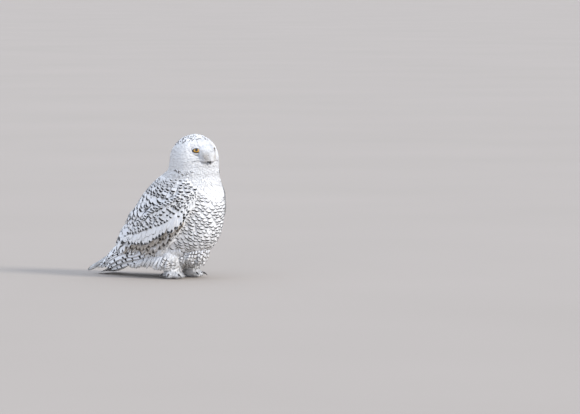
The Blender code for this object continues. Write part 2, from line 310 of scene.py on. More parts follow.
pale = Shader("pale_floor", 0.95, Specular_IOR_Level=0.2)
pale.feed("Base Color", pale.mix(pale.noise(0.7, 2.0), (0.42, 0.375, 0.33), (0.46, 0.41, 0.365)))
floor.data.materials.append(pale.material)

# %% [markdown]
# ## Finishes of the plumage
# Snowy plumage is not one white. Each feather is a shade lighter or darker than its neighbour, greyer at its
# root, where down shows and painted shade stands for the shadow of the feathers over it, and its vane is
# ribbed with barbs that run outwards from the shaft. Three numbers ride on every feather: `along`, from root
# to tip,
# `across`, from edge to edge, and `tone`, its own tint from clean white to brown. In a few places tone is
# raised
# to paint light and shade: painted shade between eye and bill, a painted shadow line at the gape and painted
# floor light low on the belly. Dark bars are faces of their own, so that their edges stay crisp.

# %% Feather finishes
RIBS, LEAN = 55.0, 40.0  # how close the barbs' ribs stand along the shaft, and how far they lean tipwards


# The second colour is the brown that `tone` mixes in: real stain, and also painted shade and painted floor
# light where tone is raised for them.
def feather_finish(name, clean, stain_and_painted_light, root):
    made = Shader(name, 0.75, Specular_IOR_Level=0.2, Sheen_Weight=0.12, Sheen_Roughness=0.5)
    along, across, tone = (made.attribute(n) for n in ("along", "across", "tone"))
    # Greyer towards the root: partly the down that shows there, partly painted shade under the overlapping
    # feathers.
    shade = made.ramp(along, (0.15, (1, 1, 1)), (0.6, (0, 0, 0)))
    colour = made.mix(shade, made.mix(tone, clean, stain_and_painted_light), root)
    made.feed("Base Color", colour)
    side = made.node("ShaderNodeMath", {"operation": "ABSOLUTE"}, {0: across})
    barbs = made.node("ShaderNodeMath", {"operation": "SINE"}, {0: along * RIBS - side * LEAN})
    return made.bump(barbs, 0.00010, 0.25)


def bar_finish(name, dark, worn):
    made = Shader(name, 0.7, Specular_IOR_Level=0.2)
    colour = made.mix(made.attribute("tone") + made.noise(160, 2.0) * 0.35 - 0.1, dark, worn)
    return made.feed("Base Color", colour)


# The last colour is the bluish grey of a feather's root: down, with painted shade.
white_vane = feather_finish("white_vane", (0.92, 0.92, 0.92), (0.34, 0.27, 0.19), (0.86, 0.87, 0.90))
dark_bar = bar_finish("dark_bar", (0.010, 0.009, 0.010), (0.075, 0.058, 0.046))
brown_bar = bar_finish("brown_bar", (0.050, 0.038, 0.028), (0.20, 0.15, 0.10))
VANE_SLOTS = [white_vane.material, dark_bar.material, brown_bar.material]
PLAIN, DARK, BROWN = 0, 1, 2
print("feather finishes", [m.name for m in VANE_SLOTS])

# %% [markdown]
# ## One surface over all the flesh
# The solids meet with thin gaps. Copied together and remeshed with voxels, they flow into one closed surface:
# the outside of the coat. Feathers end on it. The skin is the same surface drawn in by the coat's depth, so
# it is seen only where the feathers part.

# %% Helpers for meshes and arrays


def mesh_of(*nodes):
    """One bmesh with the faces of several CAD nodes, welded."""
    shape = bmesh.new()
    for node in nodes:
        shape.from_mesh(frame["nodes"][node].data)
    bmesh.ops.remove_doubles(shape, verts=shape.verts, dist=1e-5)
    return shape


def with_modifiers(thing, *steps):
    """Applies modifiers, given as (kind, settings)."""
    for kind, settings in steps:
        step = thing.modifiers.new(kind.lower(), kind)
        for name, value in settings.items():
            setattr(step, name, value)
    graph = bpy.context.evaluated_depsgraph_get()
    old, thing.data = thing.data, bpy.data.meshes.new_from_object(thing.evaluated_get(graph))
    thing.modifiers.clear()
    bpy.data.meshes.remove(old)
    return thing


def numbers(source, prop, width, kind=np.float32):
    """All the values of a mesh property, a row each."""
    found = np.zeros(len(source) * width, kind)
    source.foreach_get(prop, found)
    return found.reshape(-1, width)


def tree_of(points):
    """A tree that finds the nearest of the points."""
    tree = KDTree(len(points))
    for index, point in enumerate(points):
        tree.insert(point, index)
    tree.balance()
    return tree


def unit(rows):
    return rows / np.maximum(np.linalg.norm(rows, axis=-1, keepdims=True), 1e-9)


def hump(values, middle, spread):
    """1 at the middle, falling off softly to both sides."""
    return np.exp(-(((values - middle) / spread) ** 2))


def share_of(gap, over):
    """How much of `over` the gap fills, from 0 to 1."""
    return np.clip(gap / over, 0, 1)


# %% Weld and smooth the flesh
FLESH = ["head", "neck", "trunk", "leg_r", "leg_l", "foot_r", "foot_l", "wing_r", "wing_l"]
VOXEL = 0.0032
WRIST_FORWARD, WRIST_HIGH, WRIST_FADE = 0.018, 0.15, 0.03

skin = object_of("skin", mesh_of(*FLESH))
with_modifiers(skin, ("REMESH", {"mode": "VOXEL", "voxel_size": VOXEL}))
wrist = skin.vertex_groups.new(name="wrist")  # the breast's feathers bury the wing's front edge
for v in skin.data.vertices:
    ahead = (head_axis.y - v.co.y - WRIST_FORWARD) / WRIST_FADE
    above = (v.co.z - WRIST_HIGH) / WRIST_FADE
    wrist.add([v.index], min(1.0, max(0.0, ahead)) * min(1.0, max(0.0, above)), "REPLACE")
with_modifiers(
    skin,
    ("SMOOTH", {"factor": 0.5, "iterations": 12}),
    ("SMOOTH", {"factor": 0.5, "iterations": 130, "vertex_group": "wrist"}),
)
coat_surface = BVHTree.FromObject(skin, bpy.context.evaluated_depsgraph_get())
coat_points = numbers(skin.data.vertices, "co", 3).astype(float)
coat_normals = numbers(skin.data.vertex_normals, "vector", 3).astype(float)
edges = numbers(skin.data.edges, "vertices", 2, np.int32)
skin.data.calc_loop_triangles()
coat_triangles = coat_points[numbers(skin.data.loop_triangles, "vertices", 3, np.int32)]
print("coat surface", len(coat_points), "points")

# %% Draw the skin in by the coat's depth
HEAD_COAT, BODY_COAT, LEG_COAT, FOOT_COAT = 0.0040, 0.0070, 0.0040, 0.0028  # depths


def evened(rows, rounds):
    """Values on the coat's points, averaged with their neighbours'."""
    for _ in range(rounds):
        total = rows.copy()
        np.add.at(total, edges[:, 0], rows[edges[:, 1]])
        np.add.at(total, edges[:, 1], rows[edges[:, 0]])
        rows = unit(total)
    return rows


depth = np.interp(
    coat_points[:, 2],
    [0.0, 0.035, 0.09, 0.29, 0.33, 0.39, 0.42],
    [FOOT_COAT, LEG_COAT, BODY_COAT, BODY_COAT, HEAD_COAT, HEAD_COAT, BODY_COAT],
)
drawn_in = coat_points - evened(coat_normals, 2) * depth[:, None]
skin.data.vertices.foreach_set("co", drawn_in.astype(np.float32).ravel())
skin.data.update()
skin.data.shade_smooth()
print("skin", len(skin.data.polygons), "faces")

# %% Find places on the coat
lie_normals = evened(coat_normals, 14)
nearest_point = tree_of(coat_points)


def normals_at(points):
    """The coat's evened-out normal at each point."""
    return np.array([lie_normals[nearest_point.find(p)[1]] for p in points])


def on_coat(points):
    """Each point's nearest place on the coat's surface."""
    return np.array([coat_surface.find_nearest(p)[0] for p in points])


def lie(normals, wanted):
    """The wanted direction, laid flat on the surface."""
    return unit(wanted - normals * (wanted * normals).sum(axis=1, keepdims=True))


# %% [markdown]
# ## How a feather is made
# A contour feather is a thin vane that bends along its shaft and across it. Here it starts as a grid, whose
# rows follow the shaft and curve back towards the edges. Its rim is extruded and drawn together into a keel
# under the shaft, which closes it. Two neighbouring rows frame a dark bar. Thousands are needed, so one
# pattern is shaped by operators, and arrays of numbers then bend a copy of it to each feather's place.

# %% The pattern of a vane


class Vane:
    """The pattern of rows that one kind of feather is made from.

    Rows are shares of its length. A bar starts at each row in `bars` and ends at the next, and reaches so far
    to both edges. From row `split` on, the columns part into fingers of barbs, as wide as `fingers` says, row
    by row, and `fray` makes them uneven. `thin` is how much a bar narrows at the edges."""

    def __init__(self, rows, widths, curves, columns, bars=(), reach=0.8, thin=0.4, split=None, fingers=(),
                 fray=0.0):
        self.rows, self.widths, self.curves = (np.array(x, float) for x in (rows, widths, curves))
        self.fray, self.thin, self.columns = fray, thin, columns
        steps = len(rows) - 1
        split = steps if split is None else split
        shape = bmesh.new()
        bmesh.ops.create_grid(shape, x_segments=columns, y_segments=steps, size=1)
        rim = [e for e in shape.edges if e.is_boundary]
        made = bmesh.ops.extrude_edge_only(shape, edges=rim)["geom"]
        keel = [v for v in made if isinstance(v, bmesh.types.BMVert)]
        for v in keel:
            v.co.x, v.co.z = 0, -1
        bmesh.ops.remove_doubles(shape, verts=keel, dist=1e-4)
        bmesh.ops.recalc_face_normals(shape, faces=shape.faces)
        slits = [e for e in shape.edges if self.is_slit(e, split, steps)]
        bmesh.ops.split_edges(shape, edges=slits)
        shape.verts.index_update()
        self.u = np.array([v.co.x for v in shape.verts])
        self.row = np.array([round((v.co.y + 1) / 2 * steps) for v in shape.verts])
        self.under = np.array([v.co.z < -0.5 for v in shape.verts])
        middle = np.array([np.mean([f.calc_center_median().x for f in v.link_faces]) for v in shape.verts])
        self.finger = np.clip(((middle + 1) / 2 * columns).astype(int), 0, columns - 1)
        self.loose = np.where(self.under, 0, np.clip((self.row - split) / max(steps - split, 1), 0, 1))
        narrow = np.ones(steps + 1)
        narrow[split + 1:] = fingers or 1.0
        centre = (self.finger + 0.5) / columns * 2 - 1
        self.u = np.where(self.loose > 0, centre + (self.u - centre) * narrow[self.row], self.u)
        self.corners = np.array([v.index for f in shape.faces for v in f.verts])
        self.sizes = np.array([len(f.verts) for f in shape.faces])
        spans = bars if isinstance(bars, dict) else {first: (-reach, reach) for first in bars}
        self.barred = np.array([self.in_bar(f, spans) for f in shape.faces])
        self.mate = np.arange(len(rows))
        for first in bars:
            self.mate[[first, first + 1]] = first + 1, first
        shape.free()

    @staticmethod
    def is_slit(edge, split, steps):
        """Whether an edge between two columns lies past the row where the fingers part."""
        a, b = edge.verts
        on_keel = min(a.co.z, b.co.z) < -0.5
        if edge.is_boundary or on_keel or abs(a.co.x) > 0.99 or abs(a.co.x - b.co.x) > 1e-4:
            return False
        return (min(a.co.y, b.co.y) + 1) / 2 * steps > split - 0.01

    def in_bar(self, face, spans):
        """Whether a face is dark: `spans` says for a row from which to which edge its bar runs."""
        middle = face.calc_center_median()
        low, high = spans.get(int((middle.y + 1) / 2 * (len(self.rows) - 1)), (0, 0))
        return min(v.co.z for v in face.verts) > -0.5 and low < middle.x < high


# %% A tract of feathers
PATCH = 0.003  # of the bake map, for each feather, at its root's place on an unwrap of the body


class Tract:
    """Feathers that become one mesh."""

    def __init__(self, name):
        self.name = name
        layers = ("points", "along", "across", "tone", "chart", "loops", "sizes", "slots")
        self.parts = {layer: [] for layer in layers}
        self.count = self.feathers = 0

    def add(self, vane, root, middle, tip, up, width, chart, tone=0.0, bar=PLAIN, share=None, up_tip=None,
            camber=5.0, thick=0.0004, sweep=0.03):
        """Bends a copy of the vane along each root, middle and tip. Arrays hold one row a feather.

        `camber` rounds it across, `sweep` bends it aside by chance, and `share` puts its rows elsewhere."""
        n = len(root)
        length = np.linalg.norm(tip - root, axis=1)[:, None]
        width, tone, bar, camber = (np.broadcast_to(x, n)[:, None] for x in (width, tone, bar, camber))
        share = np.broadcast_to(vane.rows if share is None else share, (n, len(vane.rows)))
        u, row, under = vane.u[None, :], vane.row, vane.under[None, :]
        y = share[:, row] + (share[:, vane.mate[row]] - share[:, row]) * 0.5 * vane.thin * u**2
        y = y - np.where(under, 0, vane.curves[row][None, :] * width / length * u**2)
        ragged = chance.normal(0, vane.fray, (n, vane.columns))[:, vane.finger]
        y = y + ragged * vane.loose[None, :] ** 0.5
        x = np.where(under, 0, width / 2 * u * vane.widths[row][None, :])
        control = 2 * middle - (root + tip) / 2
        a, b, c = (p[:, None, :] for p in (root, control, tip))
        t = y[..., None]
        line = a * (1 - t) ** 2 + b * 2 * t * (1 - t) + c * t**2
        lift = unit(up[:, None, :] * (1 - t) + (up if up_tip is None else up_tip)[:, None, :] * t)
        side = unit(np.cross((tip - root)[:, None, :], lift))
        swing = chance.normal(0, sweep, (n, 1)) * length
        spread = chance.normal(0, vane.fray * 0.35, (n, vane.columns))[:, vane.finger] * vane.loose[None, :]
        x = x + swing * y**2 + spread * length
        drop = camber * (x - swing * y**2) ** 2 + np.where(under, thick + camber * (width / 2) ** 2 * 0.45, 0)
        points = line + side * x[..., None] - lift * drop[..., None]
        per = points.shape[1]
        patch = np.stack([np.broadcast_to(u, y.shape) * PATCH / 2, np.clip(y, 0, 1) * PATCH], axis=-1)
        put = self.parts
        put["points"].append(points.reshape(-1, 3))
        put["along"].append(y.ravel())
        put["across"].append(np.broadcast_to(u, y.shape).ravel())
        put["tone"].append(np.repeat(tone.ravel(), per))
        put["chart"].append((chart[:, None, :] + patch).reshape(-1, 2))
        put["loops"].append((vane.corners[None, :] + self.count + np.arange(n)[:, None] * per).ravel())
        put["sizes"].append(np.tile(vane.sizes, n))
        put["slots"].append((vane.barred[None, :] * bar).ravel())
        self.count += n * per
        self.feathers += n

    def build(self, *replaced, slot="white_plumage"):
        """Joins the feathers into one object."""
        rows = {name: np.concatenate(parts) for name, parts in self.parts.items()}
        mesh = bpy.data.meshes.new(self.name)
        mesh.vertices.add(len(rows["points"]))
        mesh.vertices.foreach_set("co", rows["points"].astype(np.float32).ravel())
        mesh.loops.add(len(rows["loops"]))
        mesh.loops.foreach_set("vertex_index", rows["loops"].astype(np.int32))
        mesh.polygons.add(len(rows["sizes"]))
        starts = np.cumsum(rows["sizes"]) - rows["sizes"]
        mesh.polygons.foreach_set("loop_start", starts.astype(np.int32))
        mesh.polygons.foreach_set("material_index", rows["slots"].astype(np.int32))
        for finish in VANE_SLOTS:
            mesh.materials.append(finish)
        for name in ("along", "across", "tone"):
            layer = mesh.attributes.new(name, "FLOAT", "POINT")
            layer.data.foreach_set("value", rows[name].astype(np.float32))
        chart = mesh.uv_layers.new(name="OFBake")
        chart.data.foreach_set("uv", rows["chart"][rows["loops"]].astype(np.float32).ravel())
        mesh.update(calc_edges=True)
        mesh.shade_smooth()
        made = in_scene(self.name, mesh)
        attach(made, "root")
        if replaced:
            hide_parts(*replaced)
        triangles = int((rows["sizes"] - 2).sum())
        print(f"{self.name}: {self.feathers} feathers, {triangles} triangles")


def lay(tract, vane, places, normals, direction, charts, length, width, depth, rise=0.0, **more):
    """Feathers that root `depth` under the coat's surface and end `rise` above it."""
    n = len(places)
    if not n:
        return
    length, rise, depth = (np.broadcast_to(x, n)[:, None] for x in (length, rise, depth))
    end = on_coat(places + direction * length)
    middle = on_coat(places + direction * length * 0.5) - normals * depth * 0.35 + normals * rise * 0.5
    end_up = normals_at(end)
    tract.add(
        vane, places - normals * depth, middle, end + end_up * rise, normals, width, charts,
        up_tip=end_up, **more,
    )


def bar_rows(vane, length, at, deep):
    """Slides the two rows that frame a single bar to `at` metres from the tip, `deep` metres apart."""
    first = [r for r in range(len(vane.rows)) if vane.mate[r] == r + 1][0]
    share = np.tile(vane.rows, (len(length), 1))
    share[:, first] = 1 - (at + deep / 2) / length
    share[:, first + 1] = 1 - (at - deep / 2) / length
    return share


# %% Three kinds of vane
BARRED = Vane(
    rows=(0, 0.35, 0.62, 0.74, 0.86, 0.94, 1.0),
    widths=(0.35, 0.85, 1.0, 1.0, 0.97, 0.88, 0.72),
    curves=(0, 0.1, 0.2, 0.24, 0.27, 0.34, 0.42),
    columns=8,
    bars=[3],
    split=2,
    fingers=(0.98, 0.90, 0.74, 0.30),
    fray=0.026,
)
BLOCK = Vane(  # a broad bar that stays clear of the edges
    rows=(0, 0.35, 0.62, 0.74, 0.86, 0.94, 1.0),
    widths=(0.35, 0.85, 1.0, 1.0, 0.97, 0.88, 0.70),
    curves=(0, 0.06, 0.12, 0.15, 0.18, 0.28, 0.40),
    columns=8,
    bars=[3],
    reach=0.74,
    thin=0.25,
    split=2,
    fingers=(0.99, 0.94, 0.80, 0.35),
    fray=0.014,
)
TUFT = Vane(
    rows=(0, 0.35, 0.7, 1.0),
    widths=(0.35, 0.95, 0.95, 0.6),
    curves=(0, 0.15, 0.35, 0.6),
    columns=4,
    split=1,
    fingers=(0.85, 0.25),
    fray=0.07,
)
for kind in (BARRED, BLOCK, TUFT):
    print("a vane with", len(kind.sizes), "faces,", int((kind.sizes - 2).sum()), "triangles")

# %% [markdown]
# ## Laying feathers in rows
# Rays sent out from a line inside the body find the coat's surface. On each ring of rays the feathers stand
# an even distance apart, every second ring shifted by half, which gives the scale-like lie of a real bird.

# %% Rings of roots
SPINE = [  # inside the body: forward, height, and how far the ring tips down at the front, in degrees
    (-0.008, 0.318, 0),
    (-0.018, 0.2925, 4.5),
    (-0.0275, 0.2675, 6),
    (-0.0425, 0.2305, 7),
    (-0.0585, 0.190, 7),
    (-0.0765, 0.1475, 9),
    (-0.0995, 0.113, 11),
    (-0.1325, 0.090, 13),
    (-0.171, 0.0785, 15),
    (-0.213, 0.0715, 20),
    (-0.247, 0.0655, 42),
]
LEVELS, RAYS = 60, 72  # measured along the body and round it, to space the feathers evenly


def ring_point(s, angle):
    """Where a ray at `angle`, 0 to the front and positive to the left, leaves the coat's surface."""
    where = s * (len(SPINE) - 1)
    forward, height, tilt = (
        float(np.interp(where, range(len(SPINE)), [row[k] for row in SPINE])) for k in range(3)
    )
    tilt = math.radians(tilt)
    front = Vector((0, -math.cos(tilt), -math.sin(tilt)))
    ray = front * math.cos(angle) + Vector((math.sin(angle), 0, 0))
    return coat_surface.ray_cast(place(forward, 0, height) + ray * 0.5, -ray)[0]


def evenly(ring, spacing, shift):
    """Angles an even distance apart round a closed ring of (angle, place) pairs."""
    places = np.array([p for _, p in ring])
    gaps = np.linalg.norm(np.roll(places, -1, axis=0) - places, axis=1)
    run = np.concatenate([[0], np.cumsum(gaps)])
    count = max(3, round(run[-1] / spacing))
    wanted = (np.arange(count) + shift) * run[-1] / count
    return np.interp(wanted, run, [*(a for a, _ in ring), 2 * math.pi])


def body_roots(down, round_it, first, last):
    """Roots over the body, `down` apart along it and `round_it` apart round it: places, angles, levels."""
    levels = np.linspace(first, last, LEVELS)
    lines = [[ring_point(s, a) for s in levels] for a in (0, math.pi / 2, math.pi)]
    run = [0.0]
    for k in range(1, len(levels)):
        moves = [(line[k] - line[k - 1]).length for line in lines if line[k] and line[k - 1]]
        run.append(run[-1] + sum(moves) / len(moves))
    found = []
    for row, distance in enumerate(np.arange(down / 2, run[-1], down)):
        s = float(np.interp(distance, run, levels))
        ring = [(a, ring_point(s, a)) for a in np.linspace(0, 2 * math.pi, RAYS, endpoint=False)]
        ring = [(a, p) for a, p in ring if p]
        for angle in evenly(ring, round_it, 0.5 * (row % 2)):
            angle += chance.normal(0, 0.10) * round_it / 0.09
            jitter = chance.normal(0, 0.12) * down / (run[-1] / (last - first))
            hit = ring_point(s + jitter, angle)
            if hit:
                found.append((*hit, math.remainder(angle, 2 * math.pi), s))
    found = np.array(found)
    return found[:, :3], found[:, 3], found[:, 4]


# %% [markdown]
# ## Scattering tufts
# The head, legs and feet wear small tufts with no plain rows. Random places are thrown on the coat's surface,
# and one that falls too near another is dropped, which keeps them even without a pattern.

# %% Scattered roots


def scatter(spacing_at, throws):
    """Places on the coat at least spacing_at(place) apart; where that is 0 there are none."""
    edge_a = coat_triangles[:, 1] - coat_triangles[:, 0]
    edge_b = coat_triangles[:, 2] - coat_triangles[:, 0]
    wanted = spacing_at(coat_triangles.mean(axis=1)) > 0
    area = np.linalg.norm(np.cross(edge_a, edge_b), axis=1) * wanted
    pick = chance.choice(len(area), throws, p=area / area.sum())
    a, b = chance.random((2, throws, 1))
    fold = a + b > 1
    a, b = np.where(fold, 1 - a, a), np.where(fold, 1 - b, b)
    places = coat_triangles[pick, 0] + edge_a[pick] * a + edge_b[pick] * b
    spacing = spacing_at(places)
    near = tree_of(places)
    free, kept = spacing > 0, []
    for k, p in enumerate(places):
        if free[k]:
            kept.append(k)
            for _, other, _ in near.find_range(p, spacing[k]):
                free[other] = False
    return places[kept]


# %% [markdown]
# ## The wings' own grid
# A folded wing has its own lines, from the wrist at the shoulder back to the tips. Each station below gives
# its lower and its upper edge, and a place on the wing is a station number and a share of the way up.

# %% Wing stations
ARM = [  # lower edge, then upper edge: forward, outward, height
    ((0.056, 0.068, 0.240), (0.053, 0.064, 0.259)),
    ((0.047, 0.084, 0.204), (0.022, 0.074, 0.262)),
    ((0.026, 0.092, 0.168), (-0.022, 0.086, 0.240)),
    ((-0.006, 0.094, 0.130), (-0.070, 0.088, 0.218)),
    ((-0.048, 0.090, 0.094), (-0.118, 0.080, 0.202)),
    ((-0.094, 0.082, 0.070), (-0.165, 0.060, 0.192)),
    ((-0.142, 0.073, 0.055), (-0.210, 0.028, 0.178)),
    ((-0.192, 0.063, 0.044), (-0.252, 0.008, 0.148)),
    ((-0.236, 0.054, 0.036), (-0.280, 0.004, 0.108)),
]
TIPS = {  # the same beyond the trunk; the left wing's tip crosses over the tail
    "r": [
        ((-0.276, 0.043, 0.024), (-0.314, 0.002, 0.068)),
        ((-0.314, 0.037, 0.012), (-0.348, 0.003, 0.036)),
        ((-0.350, 0.030, 0.006), (-0.366, 0.010, 0.010)),
    ],
    "l": [
        ((-0.294, 0.022, 0.053), (-0.318, -0.008, 0.076)),
        ((-0.348, -0.004, 0.030), (-0.358, -0.020, 0.039)),
        ((-0.380, -0.030, 0.007), (-0.384, -0.036, 0.010)),
    ],
}
OUTWARD = {"r": -1, "l": 1}
WING_CHART = 12  # stations across the bake map
RAY_FROM, RAY_LONG = 0.06, 0.09  # a ray that looks for the wing's face starts so far outside it
wing_shell = {s: BVHTree.FromBMesh(mesh_of("wing_" + s, "primaries_" + s)) for s in "rl"}
stations = {}
for side, out in OUTWARD.items():
    rows = [[place(f, out * o, z) for f, o, z in pair] for pair in ARM + TIPS[side]]
    stations[side] = np.array(rows)  # station, edge, xyz
LAST_ARM, LAST_TIP = len(ARM) - 1, len(ARM) + 2


def wing_flat(side, u, v):
    """The chord plane's point at station u, v of the way from the upper edge (0) to the lower (1)."""
    rows = stations[side]
    u = np.clip(u, 0, LAST_TIP - 1e-6)
    k = np.floor(u).astype(int)
    edge = rows[k] + (rows[k + 1] - rows[k]) * (u - k)[:, None, None]
    return edge[:, 1] + (edge[:, 0] - edge[:, 1]) * v[:, None]


def wing_grid(side, u, v):
    """Places on the wing's outer face with the normal and the directions towards the tip and downwards."""
    u, v = (np.array(np.broadcast_to(x, np.broadcast(u, v).shape), float).ravel() for x in (u, v))
    flat = wing_flat(side, u, v)
    tipward = unit(wing_flat(side, u + 0.4, v) - wing_flat(side, u - 0.4, v))
    downward = unit(wing_flat(side, u, v + 0.1) - wing_flat(side, u, v - 0.1))
    normal = unit(np.cross(downward, tipward))
    normal *= np.sign(normal @ np.array((OUTWARD[side], 0.0, 0.7)))[:, None]
    places = []
    for p, n, station in zip(flat, normal, u):
        hit = wing_shell[side].ray_cast(Vector(p + n * RAY_FROM), Vector(-n), RAY_LONG)[0]
        share = min(1.0, max(0.0, station - LAST_ARM))  # beyond the trunk the feathers bend lower
        places.append((hit if hit else Vector(p)).lerp(Vector(p), share))
    return np.array(places), normal, tipward, downward


samples_u, samples_v = (g.ravel() for g in np.meshgrid(np.linspace(0, 8.4, 43), np.linspace(0, 1, 21)))
sampled = {side: wing_grid(side, samples_u, samples_v) for side in "rl"}
wing_near = {side: tree_of(grid[0]) for side, grid in sampled.items()}
print("wing normals point out:", bool((sampled["r"][1][:, 0] < 0.3).mean() > 0.9))


def wing_place(point):
    """A point's station and share on its own side's wing, and how far off the wing it is."""
    _, k, off = wing_near["r" if point[0] < 0 else "l"].find(point)
    return samples_u[k], samples_v[k], off


# %% [markdown]
# ## Breast, belly, flanks and mantle
# The rows round the body carry one bar each, near the tip. On the breast and belly the bars are thin dark
# crescents, browner low down and on the flanks, and they start below a clean white bib. On the mantle and the
# shoulders they are broad and black. The wing has its own feathers, so rows stop under it, but the shoulder
# feathers hang a little over it.

# %% Lay the body rows
BIB_LOW, BIB_SIDE = 0.250, 0.030  # the bib ends at this height, and higher by so much at its sides
WHITE_NAPE = 0.317  # no bars above it
BELLY_LOW, BARS_LOW, BROWN_LOW = 0.047, 0.058, 0.12  # heights: lowest roots, lowest bars, brown bars below
FLANK_TURN, FLANK_HIGH = 38, 0.235
EDGE_TURN = 43  # degrees from the front; few bars beyond it, by the wing's edge
SHOULDER_STOP = (  # by station, how far down the wing a shoulder feather may reach
    [1.2, 2.0, 2.6, 3.2, 4.0, 5.0, 7.0],
    [0.30, 0.16, 0.08, 0.04, 0.10, 0.20, 0.10],
)
MANTLE_TURN = 96  # degrees from the front, where the back begins
SHOULDER_LOW = 0.236  # and the shoulders end at this height
WING_BEGINS = 0.25  # the station


def only(keep, *rows):
    """The same rows of several arrays."""
    return [row[keep] for row in rows]


def is_mantle(places, angles):
    """The back, and higher up the shoulders too, which the mantle wraps."""
    turn = np.degrees(np.abs(angles))
    shoulder = 42 + 1050 * np.maximum(places[:, 2] - 0.297, 0)
    return (turn > MANTLE_TURN) | ((turn > shoulder) & (places[:, 2] > SHOULDER_LOW))


def wing_places(points):
    """Station, share and distance off the wing for each point."""
    return np.array([wing_place(p) for p in points]).T


def is_covered(points, clear, lowest):
    """Whether the wing lies over each point: it is closer than `clear`, and above the share `lowest`."""
    station, share, off = wing_places(points)
    return (off < clear) & (share < lowest) & (station > WING_BEGINS)


def body_chart(angles, levels):
    return np.stack([angles / (2 * math.pi) % 1, levels * 0.9 + 0.05], axis=1)


def lay_belly(tract, down, round_it, first, last, scale):
    """Rows of breast and belly feathers: the arguments of body_roots, then the feathers' scale."""
    places, angles, levels = body_roots(down, round_it, first, last)
    keep = ~is_mantle(places, angles) & ~is_covered(places, 0.010, 1.0) & (places[:, 2] > BELLY_LOW)
    places, angles, levels = only(keep, places, angles, levels)
    normals = normals_at(places)
    height, sideways = places[:, 2], np.abs(normals[:, 0])
    charts = body_chart(angles, levels)
    rear = share_of(places[:, 1] - head_axis.y, 0.2)
    level, down_it = np.zeros(len(places)), -np.ones(len(places))
    direction = lie(normals, np.stack([level, 0.10 + 0.95 * sideways + 2.2 * rear, down_it], axis=1))
    dice = chance.random((6, len(places)))
    length = (0.033 + 0.004 * dice[0]) * scale
    keep = ~is_covered(places + direction * length[:, None] * 0.8, 0.012, 0.97)
    places, angles, normals, direction, charts, length, height = only(
        keep, places, angles, normals, direction, charts, length, height
    )
    dice = dice[:, keep]
    width = (0.0205 + 0.003 * dice[1]) * scale

    turn = np.degrees(np.abs(angles))
    begins = BIB_LOW + BIB_SIDE * hump(turn, 36, 20) + 0.008 * (turn > 55)
    barred = (height < begins + 0.008 * (dice[2] - 0.5)) & (height > BARS_LOW) & (dice[3] < 0.96)
    barred &= (turn < EDGE_TURN) | (height < BROWN_LOW) | (dice[3] < 0.35)
    fade = share_of(begins - height, 0.02)
    flank = share_of(turn - FLANK_TURN, 16) * (height < FLANK_HIGH)
    deep = 0.0024 + 0.0014 * fade * (1 - flank) + 0.0008 * (dice[4] - 0.5)
    rows = bar_rows(BARRED, length, 0.0045 + 0.0016 * dice[5], deep)
    # Browner towards the floor: painted warm light bounced up from it, besides each feather's own tint.
    tone = 0.01 + 0.05 * dice[0] + 0.10 * share_of(0.13 - height, 0.1)
    ink = np.where(barred, np.where((height < BROWN_LOW) | (flank > 0.6), BROWN, DARK), PLAIN)
    lay(
        tract, BARRED, places, normals, direction, charts, length, width, 0.0036, 0.0004 + 0.0006 * dice[1],
        tone=tone, bar=ink, share=rows,
    )


def lay_mantle(tract, down, round_it, first, last, scale):
    """Rows of mantle and shoulder feathers, by the same arguments."""
    places, angles, levels = body_roots(down, round_it, first, last)
    places, angles, levels = only(is_mantle(places, angles), places, angles, levels)
    normals = normals_at(places)
    forward = head_axis.y - places[:, 1]
    backward = np.interp(forward, [-0.17, -0.07, 0.0, 0.05], [0.95, 0.55, 0.25, -0.1])
    inward = -np.sign(places[:, 0]) * 0.08
    direction = lie(normals, np.stack([inward, backward, -np.ones(len(places))], axis=1))
    dice = chance.random((6, len(places)))
    length = (0.036 + 0.004 * dice[0]) * scale
    ends = places + direction * length[:, None]
    station, share, off = wing_places(ends)
    keep = ~((off < 0.014) & (share > np.interp(station, *SHOULDER_STOP)))
    keep &= np.linalg.norm(on_coat(ends) - ends, axis=1) < 0.010  # none folds over an edge
    places, angles, levels, normals, direction, length, forward = only(
        keep, places, angles, levels, normals, direction, length, forward
    )
    dice, height = dice[:, keep], places[:, 2]
    charts = body_chart(angles, levels)
    width = round_it * (1.04 + 0.12 * dice[1])
    top = WHITE_NAPE - 0.016 * share_of(-forward, 0.12)
    barred = (height < top + 0.006 * (dice[2] - 0.5)) & (dice[3] < 0.95)
    fade = share_of(top - height, 0.030)
    deep = 0.0036 + 0.0026 * fade + 0.0010 * (dice[4] - 0.5)
    rows = bar_rows(BLOCK, length, 0.0058 + 0.0014 * dice[5], deep)
    proud = np.interp(forward, [-0.19, -0.10], [0.0042, 0.0012]) + 0.0008 * dice[1]
    proud += 0.0026 * (off[keep] < 0.016)
    lay(
        tract, BLOCK, places, normals, direction, charts, length, width, 0.0030, proud,
        tone=0.01 + 0.04 * dice[0], bar=np.where(barred, DARK, PLAIN), share=rows,
    )


coat_belly, coat_mantle = Tract("coat_belly"), Tract("coat_mantle")
BELLY_BANDS = (  # distances down and round, from and to which share of the spine, scale
    (0.0078, 0.0115, 0.0, 0.21, 0.80),
    (0.0096, 0.0152, 0.21, 1.0, 1.0),
)
MANTLE_BANDS = (
    (0.0080, 0.0125, 0.0, 0.10, 0.80),
    (0.0094, 0.0180, 0.10, 0.22, 0.92),
    (0.0108, 0.0262, 0.22, 0.50, 1.05),
    (0.0124, 0.0300, 0.50, 1.0, 1.15),
)
for band in BELLY_BANDS:
    lay_belly(coat_belly, *band)
for band in MANTLE_BANDS:
    lay_mantle(coat_mantle, *band)
coat_belly.build()
coat_mantle.build(slot="barred_plumage")

# %% [markdown]
# ## Wing coverts
# Over the folded wing lie rows of coverts: small ones with clustered black bars at the top, then a band of
# long plain ones, whose dark tips draw a line of spots across the wing. The brown tips of the secondaries
# show below them as three more rows.

# %% Lay the coverts
STATION_LONG = 0.048  # from one wing station to the next, about


